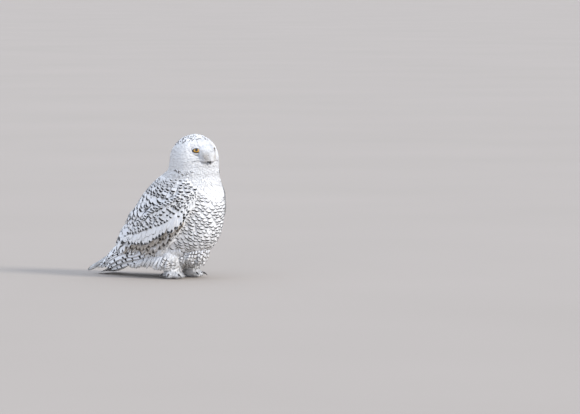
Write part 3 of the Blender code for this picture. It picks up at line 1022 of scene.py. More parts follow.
def covert_row(tract, side, tip_line, gap, length, width, slope, lifts, at=0.005, deep=0.004, tone=0.02,
               loose=0.012, marked=0.94, vane=BLOCK):
    """A row of coverts whose tips follow tip_line, given as (station, share) corners.

    `slope` turns them down from the wing's length, and `lifts` is how far root and tip stand off.
    `length` is a number or (station, length) corners. The share `marked` of them wears the vane's bar, which
    is `deep` metres long and `at` metres from the tip."""
    corners_u, corners_v = zip(*tip_line)
    u = np.arange(corners_u[0], corners_u[-1], gap / STATION_LONG)
    n = len(u)
    u = u + chance.normal(0, 0.05, n)
    v = np.interp(u, corners_u, corners_v) + chance.normal(0, loose, n)
    tips, normals, tipward, downward = wing_grid(side, u, v)
    angle = slope + chance.normal(0, 0.10, n)
    direction = tipward * np.cos(angle)[:, None] + downward * np.sin(angle)[:, None]
    if not np.isscalar(length):
        length = np.interp(u, *zip(*length))
    length = length * chance.uniform(0.93, 1.07, n)
    roots = on_coat(tips - direction * length[:, None])
    middle = on_coat(tips - direction * length[:, None] / 2) + normals * sum(lifts) / 2
    root_up = normals_at(roots)
    marks = np.where(chance.random(n) < marked, DARK, PLAIN)
    rows = None
    if vane is not TWICE:
        rows = bar_rows(vane, length, at * chance.uniform(0.9, 1.25, n), deep * chance.uniform(0.8, 1.2, n))
    tract.add(
        vane, roots + root_up * lifts[0], middle, on_coat(tips) + normals * lifts[1], root_up, width,
        np.stack([u / WING_CHART, v], axis=1), tone=tone + 0.05 * chance.random(n), bar=marks, share=rows,
        up_tip=normals, camber=4.0,
    )


def lowered(line, by):
    """The same line `by` further down the wing, at most just past its lower edge."""
    return [(u, min(1.02, v + by)) for u, v in line]


SPOTTED = Vane(  # its bar is a spot that leaves the edges white
    rows=(0, 0.35, 0.62, 0.78, 0.90, 0.96, 1.0),
    widths=(0.35, 0.85, 1.0, 1.0, 0.95, 0.82, 0.60),
    curves=(0, 0.1, 0.2, 0.22, 0.24, 0.34, 0.45),
    columns=8,
    bars=[3],
    reach=0.72,
    split=2,
    fingers=(0.98, 0.92, 0.78, 0.35),
    fray=0.018,
)
TWICE = Vane(  # two bars, one above the other
    rows=(0, 0.36, 0.46, 0.61, 0.75, 0.91, 0.97, 1.0),
    widths=(0.35, 0.9, 1.0, 1.0, 1.0, 0.92, 0.8, 0.55),
    curves=(0, 0.06, 0.10, 0.12, 0.15, 0.2, 0.3, 0.45),
    columns=6,
    bars=[2, 4],
    reach=0.66,
    thin=0.2,
    split=3,
    fingers=(0.99, 0.94, 0.80, 0.35),
    fray=0.012,
)
LENGTHENING = [(1.2, 0.022), (2.0, 0.030), (3.0, 0.056)]  # short by the wrist, long behind it
GREAT = [  # the line of spots
    (1.2, 1.0), (2.2, 1.0), (2.8, 0.94), (3.6, 0.80), (4.2, 0.765), (5.1, 0.765), (5.8, 0.72), (6.8, 0.60),
]
SECONDARIES = (  # how far below that line, how brown, the bar's depth, how many wear it, lift
    (0.30, 0.30, 0.0060, 0.8, 0.0010),
    (0.19, 0.56, 0.0095, 1.0, 0.0018),
    (0.09, 0.74, 0.0095, 1.0, 0.0026),
)
OVER_PRIMARIES = [(6.6, 0.80), (7.6, 0.66), (8.4, 0.50)]
MEDIAN = [(1.4, 0.62), (3.0, 0.60), (4.0, 0.47), (6.6, 0.44)]
SMALL = [(0.9, 0.52), (2.9, 0.52), (4.0, 0.40), (6.6, 0.37)]
BY_SHOULDER = [(0.1, 0.54), (2.2, 0.36), (3.4, 0.30)]
TOP = [(1.4, 0.24), (2.1, 0.25), (2.6, 0.19), (3.1, 0.15), (4.0, 0.22), (5.0, 0.33)]

coverts = {"r": Tract("coat_wing_r"), "l": Tract("coat_wing_l")}
for side, tract in coverts.items():
    row = partial(covert_row, tract, side)
    row([(0.1, 1.0), (1.6, 1.02)], 0.010, 0.024, 0.015, 0.9, (-0.002, 0.001), marked=0.0)
    for edge, start in ((1.04, 2.8), (0.97, 3.2)):  # the wing's white lower edge
        row([(start, edge), (6.3, edge)], 0.0120, 0.058, 0.0165, 0.10, (-0.0010, 0.0006),
            at=0.0130, deep=0.0042, tone=0.10, marked=0.6, vane=SPOTTED)
    for by, tone, deep, marked, lift in SECONDARIES:
        row(lowered(GREAT[1:], by), 0.0120, LENGTHENING, 0.0150, 0.34, (-0.0008, lift),
            at=0.0054, deep=deep, tone=tone, marked=marked, loose=0.014)
    for share in (0.90, 0.78):
        row([(1.0, share), (2.4, share)], 0.016, 0.030, 0.017, 0.85, (-0.001, 0.0015),
            at=0.0048, deep=0.0048, marked=0.65)
    row(lowered(GREAT[2:], -0.13), 0.0110, 0.050, 0.0200, 0.60, (0.0002, 0.0030),
        tone=0.03, marked=0.0, vane=BARRED)
    row(GREAT, 0.0122, LENGTHENING, 0.0170, 0.60, (0.0004, 0.0048),
        at=0.0062, deep=0.0090, tone=0.04, loose=0.005, vane=SPOTTED, marked=1.0)
    for by in (-0.22, 0.0):
        row(lowered(OVER_PRIMARIES, by), 0.0130, 0.048, 0.0200, 0.16, (-0.0004, 0.0026),
            at=0.0075, deep=0.0072, marked=0.7, loose=0.03, vane=SPOTTED)
    row(MEDIAN, 0.0125, 0.030, 0.0130, 0.55, (0.0008, 0.0022),
        at=0.0042, deep=0.0050, loose=0.010)
    row([(4.0, 0.475), (6.7, 0.445)], 0.0095, 0.024, 0.0098, 0.70, (0.0010, 0.0030),
        at=0.0038, deep=0.0066, loose=0.006)
    for by in (-0.15, -0.075, 0.0):
        row(lowered(SMALL, by), 0.0172, 0.027, 0.0156, 0.72, (0.0004, 0.0026),
            at=0.0048, deep=0.0052, marked=0.92)
    for share in (0.94, 0.82, 0.70, 0.58):
        row([(0.05, share), (1.2, share - 0.10)], 0.0135, 0.023, 0.0135, 1.30, (-0.002, 0.0020),
            at=0.0045, deep=0.0042, marked=0.9)
    for by in (-0.20, -0.10, 0.0):
        row(lowered(BY_SHOULDER, by), 0.0155, 0.024, 0.0150, 1.1, (0.0, 0.0022),
            at=0.0046, deep=0.0046, marked=0.92)
    row(TOP, 0.0124, 0.030, 0.0150, 0.85, (-0.0010, 0.0052), vane=TWICE, marked=1.0, loose=0.004)
    tract.build(slot="barred_plumage")

# %% [markdown]
# ## Flight feathers
# Long stiff feathers lie stacked under the coverts, and only a strip of each shows. The inner ones' tips came
# with the coverts. The outer ones, which make the wing's point, are white with black spots, and a few shorter
# ones lie over their roots. Thin black slivers between them are shafts and edges.

# %% Shape the flight feathers
chance = np.random.default_rng(26)
TIP_CLEAR = 0.004  # no bar starts nearer to the tip


def flight_vane(length, bar_gap, bar_deep, reaches, columns=6, point=0.55, first=0.6, patchy=False):
    """A long vane with bars every bar_gap metres, the first one `first` gaps from the root.

    `reaches` says from which to which edge they run, in turn. Patchy bars stand unevenly, and some are
    missing. `point` is the tip's width."""
    rows, widths, bars = [0.0], [0.5], {}
    at = bar_gap * first
    while at < length - TIP_CLEAR:
        for edge in (at, at + bar_deep):
            rows.append(edge / length)
            widths.append(min(1.0, 0.7 + 2 * edge / length))
        if not patchy or chance.random() < 0.8:
            bars[len(rows) - 2] = reaches[len(bars) % len(reaches)]
        at += bar_gap * (chance.uniform(0.75, 1.3) if patchy else 1.0)
    rows += [min(0.985, rows[-1] + 0.35 * (1 - rows[-1]) + 0.01), 1.0]
    widths += [0.8, point]
    widths = [w * min(1.0, 0.62 + (1 - r) * length / 0.03 * 0.4) for w, r in zip(widths, rows)]
    curves = [0.35 * min(1, r * 3) for r in rows]
    return Vane(rows, widths, curves, columns, bars=bars, thin=0.45)


def flight(tract, side, root, tip, width, rise_root, rise_tip, vane, tone, bar, shuffle=0.0, camber=4.0):
    """One flight feather between two places given as (station, share); `shuffle` moves its bars."""
    bend = min((root[0] + tip[0]) / 2, LAST_ARM + 0.1)  # where it leaves the flank
    u = np.array([root[0], bend, tip[0]])
    v = np.interp(u, *zip(root, tip))
    places, normals, _, _ = wing_grid(side, u, v)
    places = places + normals * np.array([rise_root, (rise_root + rise_tip) / 2, rise_tip])[:, None]
    chart = np.array([[u[1] / WING_CHART, v[1]]])
    share = vane.rows.copy()
    if shuffle:
        pairs = (len(share) - 3) // 2
        share[1:1 + 2 * pairs] += np.repeat(chance.normal(0, shuffle, pairs), 2)
    tract.add(
        vane, places[0:1], places[1:2], places[2:3], normals[0:1], width, chart,
        tone=tone, bar=bar, up_tip=normals[2:3], camber=camber, thick=0.0005, sweep=0.0, share=share[None, :],
    )


# %% Lay the flight feathers
LONG, SHORT = 0.20, 0.13  # of a spotted vane's pattern
WING_POINT = {"r": (9.4, 0.030), "l": (8.6, 0.020)}  # where the shortest one ends, and how wide they are
WING_END = 11  # where the longest one ends
SLIVER = Vane(
    rows=(0, 0.15, 0.8, 1.0), widths=(0.5, 1.0, 1.0, 0.4), curves=(0, 0, 0, 0), columns=2, bars=[1], reach=2,
    thin=0,
)
STREAKS = (  # black shafts and edges: root, tip, width
    ((6.4, 0.66), (7.1, 0.90), 0.0076),
    ((9.2, 0.66), (10.1, 0.30), 0.0042),
    ((9.9, 0.80), (10.6, 0.62), 0.0044),
    ((10.1, 0.30), (10.9, 0.20), 0.0044),
    ((8.4, 0.72), (9.3, 0.86), 0.0040),
)
remiges = {"r": Tract("remiges_r"), "l": Tract("remiges_l")}
for side, tract in remiges.items():
    shortest, wide = WING_POINT[side]  # the left wing shows only its longest feathers
    for k in range(7):  # lowest first
        share = k / 6
        tip = (shortest + (WING_END - shortest) * share**0.7, 0.97 - 0.80 * share)
        free = ((-0.95, -0.35), (-0.95, -0.60))  # spots stand where the next feather leaves it free
        gap, deep = 0.0270, 0.0098
        if k == 6:  # nothing covers the last one
            free, gap, deep = ((-0.85, -0.2), (0.2, 0.7), (-0.5, 0.1)), 0.0125, 0.0076
        if side == "l":
            free = [(-b, -a) for a, b in free]
        first = chance.uniform(0.2, 1.2)
        vane = flight_vane(LONG, gap, deep, free, columns=8, point=0.4, first=first, patchy=True)
        root = (5.4 + 0.15 * k, 0.97 - 0.05 * k)
        lift = 0.0005 + 0.0008 * k
        flight(tract, side, root, tip, wide, -0.001, lift, vane, 0.0, DARK, shuffle=0.016, camber=2.0)
    for k in range(3):
        root, tip = (5.6 + 0.1 * k, 0.50 - 0.12 * k), (8.2 - 0.2 * k, 0.52 - 0.17 * k)
        first = chance.uniform(0.2, 1.2)
        vane = flight_vane(SHORT, 0.0180, 0.0070, ((-0.7, -0.1), (0.1, 0.7)), first=first, patchy=True)
        flight(tract, side, root, tip, 0.026, 0.0002, 0.0022 + 0.0003 * k, vane, 0.03, DARK, camber=2.0)
    worn = flight_vane(0.08, 0.0200, 0.0040, ((-0.5, 0.5),), point=0.8, patchy=True)
    flight(tract, side, (5.9, 0.60), (7.2, 0.83), 0.020, 0.0024, 0.0058, worn, 0.80, BROWN, camber=2.0)
    for root, tip, width in STREAKS:
        lift = 0.0060 if root[0] < LAST_ARM else 0.0048
        flight(tract, side, root, tip, width, lift, lift, SLIVER, 0.0, DARK)
    tract.build("primaries_" + side, slot="barred_plumage")

# %% [markdown]
# ## Tail
# Twelve broad feathers fan out under the wing tips and bend to lie on the floor. The middle pair is on top.

# %% Lay the tail
rectrix = flight_vane(0.15, 0.0300, 0.0045, ((-0.8, 0.8),), point=0.75)
tail = Tract("tail_fan")
for k in sorted(range(12), key=lambda k: -abs(k - 5.5)):  # the outermost first
    j = k - 5.5
    drop = 0.0007 * abs(j)
    fall = drop + 0.00018 * j * j  # the outer ones slope down to the sides, nearer the root
    root, middle, tip = (
        place(-0.224, j * 0.0042, 0.0830 - fall),
        place(-0.296, j * 0.0058, 0.0345 - fall),
        place(-0.3535 + 0.0008 * abs(j), j * 0.0064, 0.0052 - drop * 0.75),
    )
    rows = [np.array([p]) for p in (root, middle, tip)]
    ups = [np.array([[0.08 * j, 0.56, 0.83]]), np.array([[0.02 * j, 0.25, 0.97]])]
    tail.add(
        rectrix, *rows, ups[0], 0.026, np.array([[0.1 + 0.07 * k, 0.5]]), tone=0.02, bar=BROWN,
        up_tip=ups[1], camber=2.0, thick=0.0004, sweep=0.0,
    )
tail.build("tail", slot="barred_plumage")

# %% [markdown]
# ## Tail coverts
# White feathers run down the rump between the wing tips and out over the root of the tail, which they hide.
# They lie in shingled rows, so the lowest row is laid first.

# %% Lay the tail coverts
RUMP_ROWS = (  # root, middle and tip as forward and height
    ((-0.254, 0.084), (-0.276, 0.053), (-0.302, 0.034)),
    ((-0.257, 0.100), (-0.271, 0.073), (-0.290, 0.048)),
    ((-0.258, 0.116), (-0.268, 0.090), (-0.280, 0.064)),
    ((-0.254, 0.131), (-0.265, 0.106), (-0.271, 0.081)),
    ((-0.250, 0.143), (-0.259, 0.121), (-0.265, 0.098)),
)
RUMP_GAP, RUMP_JITTER = 0.0075, 0.0008
ones = np.ones(9)  # feathers to a row
rump = Tract("coat_rump")
for row, corners in enumerate(RUMP_ROWS):
    across = (np.arange(-4, 5) + 0.5 * (row % 2)) * RUMP_GAP + chance.normal(0, RUMP_JITTER, 9)
    lines = [np.array([place(f, x, z + chance.normal(0, RUMP_JITTER)) for x in across]) for f, z in corners]
    ups, up_tips = (
        unit(np.stack([across * 8, ones * back, ones * up], 1)) for back, up in ((0.95, 0.3), (0.6, 0.8))
    )
    rump.add(
        BARRED, *lines, ups, 0.0165, np.stack([across * 6 + 0.5, ones * (0.1 + 0.2 * row)], 1),
        tone=0.02 + 0.05 * chance.random(9), bar=np.where(chance.random(9) < 0.25, DARK, PLAIN),
        up_tip=up_tips,
    )
rump.build()

# %% [markdown]
# ## Eyes
# An owl's eye is large and set deep. The ball is one glossy sphere whose colour changes with the distance
# from its own axis: black pupil, amber iris, dark rim. Lids are rings drawn over the ball from an almond
# opening outwards, the innermost ones black and naked, the others white down.

# %% Shape and colour of the eyes
IRIS, PUPIL = 0.0090, 0.0038  # radii
OPEN_WIDE, OPEN_HIGH, OPEN_UP = 0.0122, 0.0048, 0.0014  # half the opening's sizes, and how far up it is
GAZE_UP = math.radians(12)


def eye_frame(side):
    """The eye's middle, the way it looks, and the directions across and up its opening."""
    sign = 1 if side == "l" else -1
    level = (on_head(sign * EYE_SPREAD, 1, 0) - on_head(0, 0, 0)).normalized()
    axis = level * math.cos(GAZE_UP) + UP * math.sin(GAZE_UP)
    across = axis.cross(UP).normalized()
    return eye_middle[side], axis, across, across.cross(axis).normalized() * -1


def eye_finish(side):
    middle, axis, _, _ = eye_frame(side)
    made = Shader("amber_iris_" + side, 0.12, Coat_Weight=1.0, Coat_Roughness=0.03)
    place_here = made.node(
        "ShaderNodeVectorMath", {"operation": "SUBTRACT"}, {0: made.place(), 1: middle}
    )
    depth_here = made.node(
        "ShaderNodeVectorMath", {"operation": "DOT_PRODUCT"}, {0: place_here, 1: axis}, out="Value"
    )
    length = made.node("ShaderNodeVectorMath", {"operation": "LENGTH"}, {0: place_here}, out="Value")
    off = made.node("ShaderNodeMath", {"operation": "SQRT"}, {0: length * length - depth_here * depth_here})
    black = (0.004, 0.004, 0.004)
    share = off / eye_radius
    edge, hole = IRIS / eye_radius, PUPIL / eye_radius
    amber = made.ramp(
        share,
        (hole - 0.015, black),
        (hole + 0.015, (0.46, 0.20, 0.012)),
        (hole + 0.12, (0.80, 0.44, 0.020)),
        (edge - 0.08, (0.66, 0.30, 0.010)),
        (edge - 0.02, (0.14, 0.050, 0.004)),
        (edge + 0.02, black),
        (0.955, black),
        (0.965, (0.60, 0.61, 0.64)),  # the side of the ball, pale as the down round it
    )
    streaks = made.noise(900, 2.0)
    made.feed("Base Color", made.mix(streaks * 0.30, amber, black))
    return made


def almond(share, width, height):
    """A point of the opening, `share` of the way round it: pointed at both corners, flatter above."""
    angle = 2 * math.pi * share
    x, y = math.cos(angle), math.sin(angle)
    lid = 1 - abs(x) ** 2.2
    return x * width, math.copysign(lid, y) * height * (0.92 if y > 0 else 1.0) * min(1.0, abs(y) * 3)


def lid_point(share, grow, spread, outer):
    """A place on a loop round the opening, `grow` times as large, `spread` of the way to a circle."""
    angle = 2 * math.pi * share
    x, y = almond(share, OPEN_WIDE, OPEN_HIGH)
    p, q = x * grow, y * (1 + (grow - 1) * (5.0 if y > 0 else 2.6)) + OPEN_UP
    keep = 1 - spread
    return p * keep + outer * math.cos(angle) * spread, q * keep + outer * math.sin(angle) * spread


def on_ball(eye, p, q, radius):
    """The point over a place p across the opening and q up it, `radius` from the eye's middle."""
    middle, axis, across, upward = eye
    forward = math.sqrt(max(radius**2 - p * p - q * q, 0.0))
    return middle + axis * forward + across * p + upward * q


# %% Build balls and lids
LID_STEPS, LID_OUTER = 48, 0.0132
LID_LOOPS = (  # how much larger than the opening, above the ball, and how round the loop has become
    (1.00, -0.0006, 0.0),
    (1.02, 0.0006, 0.0),
    (1.08, 0.0011, 0.04),
    (1.12, 0.0006, 0.12),
    (1.20, 0.0007, 0.35),
    (1.35, 0.0008, 0.7),
    (1.50, 0.0003, 1.0),
)
NAKED_STRIPS = 3
lid_black = Shader("lid_black", 0.45, Base_Color=(0.010, 0.009, 0.009, 1))
lid_white = Shader("lid_down", 0.85)
lid_down = lid_white.mix(lid_white.noise(500, 2.0), (0.66, 0.67, 0.70), (0.80, 0.81, 0.83))
lid_white.feed("Base Color", lid_down)
for side in "rl":
    here = eye_frame(side)
    shape = bmesh.new()
    bmesh.ops.create_uvsphere(shape, u_segments=40, v_segments=24, radius=eye_radius)
    turn = here[1].to_track_quat("Z", "Y").to_matrix().to_4x4()
    bmesh.ops.transform(shape, matrix=Matrix.Translation(here[0]) @ turn, verts=shape.verts)
    ball = object_of("eyeball_" + side, shape)
    ball.data.shade_smooth()
    ball.data.materials.append(eye_finish(side).material)
    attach(ball, "root")
    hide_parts("eye_" + side)

    shape = bmesh.new()
    loops = []
    for grow, lift, spread in LID_LOOPS:
        made = bmesh.ops.create_circle(shape, segments=LID_STEPS, radius=1)
        for k, v in enumerate(made["verts"]):
            v.co = on_ball(here, *lid_point(k / LID_STEPS, grow, spread, LID_OUTER), eye_radius + lift)
        loops.append(list({e for v in made["verts"] for e in v.link_edges}))
    for number, (inner, outer) in enumerate(zip(loops, loops[1:])):
        strip = bmesh.ops.bridge_loops(shape, edges=inner + outer)["faces"]
        for face in strip:
            face.material_index = 0 if number < NAKED_STRIPS else 1
            face.smooth = True
    bmesh.ops.recalc_face_normals(shape, faces=shape.faces)
    lids = object_of("lids_" + side, shape)
    lids.data.materials.append(lid_black.material)
    lids.data.materials.append(lid_white.material)
    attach(lids, "root")
    print("eye", side, "lids", len(lids.data.polygons), "faces")

# %% [markdown]
# ## Head
# The head's feathers are the smallest. They spread away from the eyes and from the root of the bill, sweep
# back over the crown and cheeks, and hang down the nape. A few on the crown end in a dark spot. The face's
# lower rim stands a little proud, and some feathers under it end in a brown one.

# %% Measures of the head
BILL_ROOT = np.array(on_head(0, 0.066, 0.364))
EYE_CLEAR, THROAT = 0.0095, 0.290  # no scattered tuft stands nearer to an eye's front, or lower
SLOT_LOW, SLOT_HIGH = 0.345, 0.354  # where the bill leaves the face
RIM, CHIN, CROWN, BROW = 0.3235, 0.342, 0.4045, 0.404
RIM_LINE = ([38, 50, 52, 63, 66, 82], [0.3170, 0.3155, 0.3115, 0.3105, 0.3170, 0.3190])  # by degrees aside
FACE_REACH, FACE_TURN = 0.075, 110  # from the bill's root, in metres and degrees
front, left = np.array(head_front), np.array(head_side)
axis_foot = np.array((head_axis.x, head_axis.y, 0.0))
eye_front = {s: np.array(eye_frame(s)[0] + eye_frame(s)[1] * eye_radius) for s in "rl"}


def head_turn(places):
    """The angle to the left of the face, in radians."""
    off = places - axis_foot
    return np.arctan2(off @ left, off @ front)


def head_chart(places):
    """A place on the bake map, which unrolls the head."""
    return np.stack([head_turn(places) / (2 * math.pi) % 1, (places[:, 2] - 0.28) / 0.16], axis=1)


def eye_distance(places):
    return np.min([np.linalg.norm(places - eye_front[s], axis=1) for s in "rl"], axis=0)


def head_spacing(places):
    height = places[:, 2]
    away = np.linalg.norm(places - BILL_ROOT, axis=1)
    bare = (eye_distance(places) < EYE_CLEAR) | (height < THROAT)
    in_slot = (height > SLOT_LOW) & (height < SLOT_HIGH)
    bare |= in_slot & (np.abs(head_turn(places)) < math.radians(4))
    return np.where(bare, 0, np.interp(away, [0.0, 0.05, 0.10, 0.13], [0.0026, 0.0031, 0.0042, 0.0048]))


# %% Shape the head's feathers
chance = np.random.default_rng(42)
places = scatter(head_spacing, 90000)
normals = normals_at(places)
n = len(places)
away, near = np.linalg.norm(places - BILL_ROOT, axis=1), eye_distance(places)
facing, height = np.abs(np.degrees(head_turn(places))), places[:, 2]
flow = unit(places - BILL_ROOT)
for s in "rl":
    out = places - eye_front[s]
    pull = hump(np.linalg.norm(out, axis=1), 0, 0.022)[:, None]
    flow = flow * (1 - pull) + unit(out) * pull * 1.3
flow[:, 2] -= share_of(away - 0.045, 0.08) * 0.95
direction = lie(normals, flow + chance.normal(0, 0.07, flow.shape))
length = np.interp(away, [0.0, 0.03, 0.07, 0.13], [0.0080, 0.010, 0.015, 0.023])
length = length * chance.uniform(0.85, 1.15, n)
length = np.minimum(length, np.interp(near, [0.009, 0.02], [0.0060, 0.02]))
width = np.clip(length * 0.46, 0.0026, 0.0090)
rise = np.interp(away, [0.0, 0.03, 0.09], [0.0010, 0.0006, 0.0008]) * chance.uniform(0.8, 1.2, n)
rise += 0.0022 * hump(height, RIM, 0.007) * (facing < 100)
rise -= 0.0034 * share_of(height - 0.395, 0.02)  # the crown lies flat
rise += 0.0026 * hump(height, BROW, 0.007) * (facing < 24)
rise += 0.0020 * hump(height, CHIN, 0.006) * (facing < 26)
charts = head_chart(places)
# Painted shade: the face is hollow between eye and bill, so the tufts there are tinted darker.
painted_lore_shade = hump(facing, 12, 8) * hump(height, 0.364, 0.012)  # duskier between eye and bill
tone = 0.01 + 0.03 * chance.random(n) + 0.16 * painted_lore_shade
crown_mark = (height > CROWN) & (facing > 10) & (chance.random(n) < 0.32)
dusk = places + direction * (length * 0.75)[:, None]  # where a feather's mark is
under_rim = (np.abs(dusk[:, 2] - np.interp(facing, *RIM_LINE)) < 0.0030) & (facing > 36) & (facing < 84)
rim_mark = under_rim & (chance.random(n) < 0.75)
dusky = crown_mark | rim_mark
rise = rise + 0.0014 * dusky
SPOT = Vane(
    rows=(0, 0.4, 0.62, 0.83, 1.0),
    widths=(0.35, 0.95, 1.0, 0.85, 0.45),
    curves=(0, 0.1, 0.2, 0.3, 0.5),
    columns=4,
    bars=[2],
    reach=0.9,
    split=2,
    fingers=(0.9, 0.35),
    fray=0.03,
)
print(n, "places on the head,", dusky.sum(), "of them marked")

# %% Lay the head
LID_TUFT_ROWS, LID_TUFTS = (1.14, 1.2, 1.3, 1.42, 1.55), 40
LID_TUFT_OUTER, LID_TUFT_END, LID_TUFT_LONG = 0.0128, 0.0136, 0.0042
coat_face, coat_nape = Tract("coat_face"), Tract("coat_nape")
for s in "rl":  # the lids' own down, from the naked rim outwards
    here = eye_frame(s)
    rims = []
    for number, grow in enumerate(LID_TUFT_ROWS):
        for k in range(LID_TUFTS):
            spread = min(1.0, (grow - 1.12) / 0.4)
            p, q = lid_point((k + 0.5 * (number % 2)) / LID_TUFTS, grow, spread, LID_TUFT_OUTER)
            far = Vector((p, q)) + Vector((p, q - OPEN_UP)).normalized() * LID_TUFT_LONG
            far = far * min(1.0, LID_TUFT_END / far.length)
            root = on_ball(here, p, q, eye_radius + 0.0003)
            rims.append([root, on_ball(here, *far, eye_radius + 0.0016)])
    rims = np.array(rims)
    ups = unit(rims[:, 0] - np.array(here[0]))
    coat_face.add(
        TUFT, rims[:, 0], rims.mean(axis=1) + ups * 0.0011, rims[:, 1], ups, 0.0023, head_chart(rims[:, 0]),
        tone=0.02 + 0.04 * chance.random(len(rims)), camber=20.0, thick=0.0002, sweep=0.04,
    )
depth = np.interp(away, [0, 0.06, 0.12], [0.0012, 0.0014, 0.0022])
face = (away < FACE_REACH) & (facing < FACE_TURN)
for tract, part in ((coat_face, face), (coat_nape, ~face)):
    for pick, vane, mark in (
        (part & ~dusky, TUFT, PLAIN),
        (part & crown_mark, SPOT, DARK),
        (part & rim_mark & ~crown_mark, SPOT, BROWN),
    ):
        rows = only(pick, places, normals, direction, charts, length, width, depth, rise)
        lay(tract, vane, *rows, tone=tone[pick], bar=mark, camber=10.0, thick=0.0003, sweep=0.04)
coat_nape.build()

# %% [markdown]
# ## Bristles round the bill
# Between the eyes and the bill stand stiff bristle feathers. They arch forwards and down over the bill in
# several layers, so that only its black tip shows, and they make a mound that nearly hides each eye from the
# other side.

# %% Shape the mound of bristles
BRISTLE_TURN, BRISTLE_LOW, BRISTLE_HIGH = 28, 0.353, 0.402
BRISTLE_GAP, BRISTLE_EYE = 0.0019, 0.0110
SNOUT = (  # how far the mound reaches from the head's axis, by degrees aside
    [0, 6, 14, 20, 25, 30],
    [0.0815, 0.0802, 0.0775, 0.0730, 0.0645, 0.0630],
)


def bristle_spacing(places):
    facing = np.abs(np.degrees(head_turn(places)))
    high = BRISTLE_HIGH - 0.0004 * facing
    wanted = (facing < BRISTLE_TURN) & (places[:, 2] > BRISTLE_LOW) & (places[:, 2] < high)
    return np.where(wanted & (eye_distance(places) > BRISTLE_EYE), BRISTLE_GAP, 0)


def swell(here, level, skin_radius):
    """How far from the head's axis the mound of bristles stands at a turn and a height."""
    aside = np.abs(np.degrees(here))
    down_it = share_of(BRISTLE_HIGH + 0.006 - level, 0.035)
    down_it = down_it**2 * (3 - 2 * down_it)
    tuck = 1 - 0.55 * share_of(0.361 - level, 0.010) * share_of(aside - 11, 8)
    return skin_radius + np.maximum(np.interp(aside, *SNOUT) - skin_radius, 0.0005) * down_it * tuck


def outward_at(turns):
    """The level direction out of the head at each turn."""
    return np.cos(turns)[:, None] * front + np.sin(turns)[:, None] * left


def at_height(places, heights):
    places[:, 2] = heights
    return places


# %% Lay the bristles
chance = np.random.default_rng(53)
places = scatter(bristle_spacing, 30000)
normals = normals_at(places)
n = len(places)
turn = head_turn(places)
facing, height = np.abs(np.degrees(turn)), places[:, 2]
end_turn = turn * chance.uniform(0.62, 0.88, n)
fall = chance.uniform(0.009, 0.013, n) - 0.25 * np.maximum(height - 0.385, 0)
lip = 0.0035 * hump(facing, 20, 7)  # it hangs lower beside the bill's tip
end_height = np.maximum(height - fall, 0.3495 + 0.00012 * facing - lip)
start = np.linalg.norm((places - axis_foot)[:, :2], axis=1)
inner = chance.random(n) < 0.30  # these leave the skin itself and fill the mound
layer = np.where(inner, chance.uniform(0.3, 0.8, n), 1.0)
root_at = np.where(inner, start - 0.001, swell(turn, height, start) - 0.0022)
reach = start + (swell(end_turn, end_height, start) - start) * layer
flat = outward_at(end_turn)
ends = at_height(axis_foot + flat * reach[:, None], end_height)
roots = at_height(axis_foot + outward_at(turn) * root_at[:, None], height)
# Painted shade: the bristles between eye and bill, where the face is hollow, are tinted darker.
painted_lore_shade = hump(facing, 15, 9) * hump(height, 0.366, 0.014)  # duskier between eye and bill
tone = 0.02 + 0.05 * chance.random(n) + 0.52 * painted_lore_shade
coat_bristles = Tract("coat_bristles")
coat_bristles.add(
    TUFT, roots, (roots + ends) / 2 + flat * 0.0012, ends, unit(normals + flat), 0.0034, head_chart(places),
    tone=tone, camber=14.0, thick=0.0002, sweep=0.04,
)
coat_bristles.build()

# %% [markdown]
# ## The gape's painted shadow
# A fine dusky line runs back from the bill on both sides, where it opens. It is painted shadow, where the
# lower edge of the bristles overhangs the white chin. It is a trail of short slivers that lie end over end on
# top of the tufts.

# %% Draw the gape's painted shadow line
GAPE_SHADOW_LINE = [(43, 0.3475), (34, 0.352), (24, 0.3515), (14, 0.3485), (8, 0.3480)]  # degrees aside, height
HAIR_STEP, HAIR_LONG, HAIR_WIDE, HAIR_PROUD, HAIR_JITTER = 0.0014, 0.0055, 0.0016, 0.0020, 0.0003
SHADOW_SLIVER = Vane(rows=(0, 0.3, 0.75, 1.0), widths=(0.3, 1.0, 0.9, 0.3), curves=(0, 0, 0, 0), columns=1)

for sign in (-1, 1):
    points = []
    for aside, level in GAPE_SHADOW_LINE:
        outside = on_head(sign * math.radians(aside), 0.12, level)
        inwards = (Vector((head_axis.x, head_axis.y, level)) - outside).normalized()
        points.append(coat_surface.ray_cast(outside, inwards)[0])
    points = np.array(points)
    run = np.concatenate([[0], np.cumsum(np.linalg.norm(np.diff(points, axis=0), axis=1))])
    starts = np.arange(0, run[-1], HAIR_STEP)
    roots, ends = (
        np.stack([np.interp(starts + along, run, points[:, k]) for k in range(3)], 1)
        for along in (0, HAIR_LONG)
    )
    roots = on_coat(roots + chance.normal(0, HAIR_JITTER, roots.shape))
    ends = on_coat(ends + chance.normal(0, HAIR_JITTER, ends.shape))
    ups = normals_at(roots)
    lift = ups * HAIR_PROUD
    # The slivers' dusky tone paints the shadow under the lower edge of the bristles.
    coat_face.add(
        SHADOW_SLIVER, roots + lift, on_coat((roots + ends) / 2) + lift, ends + lift * 0.8, ups, HAIR_WIDE,
        head_chart(roots), tone=0.75, camber=20.0, thick=0.0002, sweep=0.0,
    )
coat_face.build()

# %% [markdown]
# ## Legs and feet
# Legs and toes are feathered to the claws. The tufts hang down the leg and run along each toe.

# %% Lay the legs and feet
chance = np.random.default_rng(71)
LEG_OUT, LEG_BACK, LEG_WIDE = 0.044, 0.052, 0.050
LEG_TOP, SOLE = 0.095, 0.0015


def near_legs(places):
    """How far each place is, level, from its own side's leg, and which way that is."""
    out = np.sign(places[:, 0]) * LEG_OUT
    off = places[:, :2] - np.stack([out, np.full(len(places), head_axis.y + LEG_BACK)], 1)
    return np.linalg.norm(off, axis=1), off


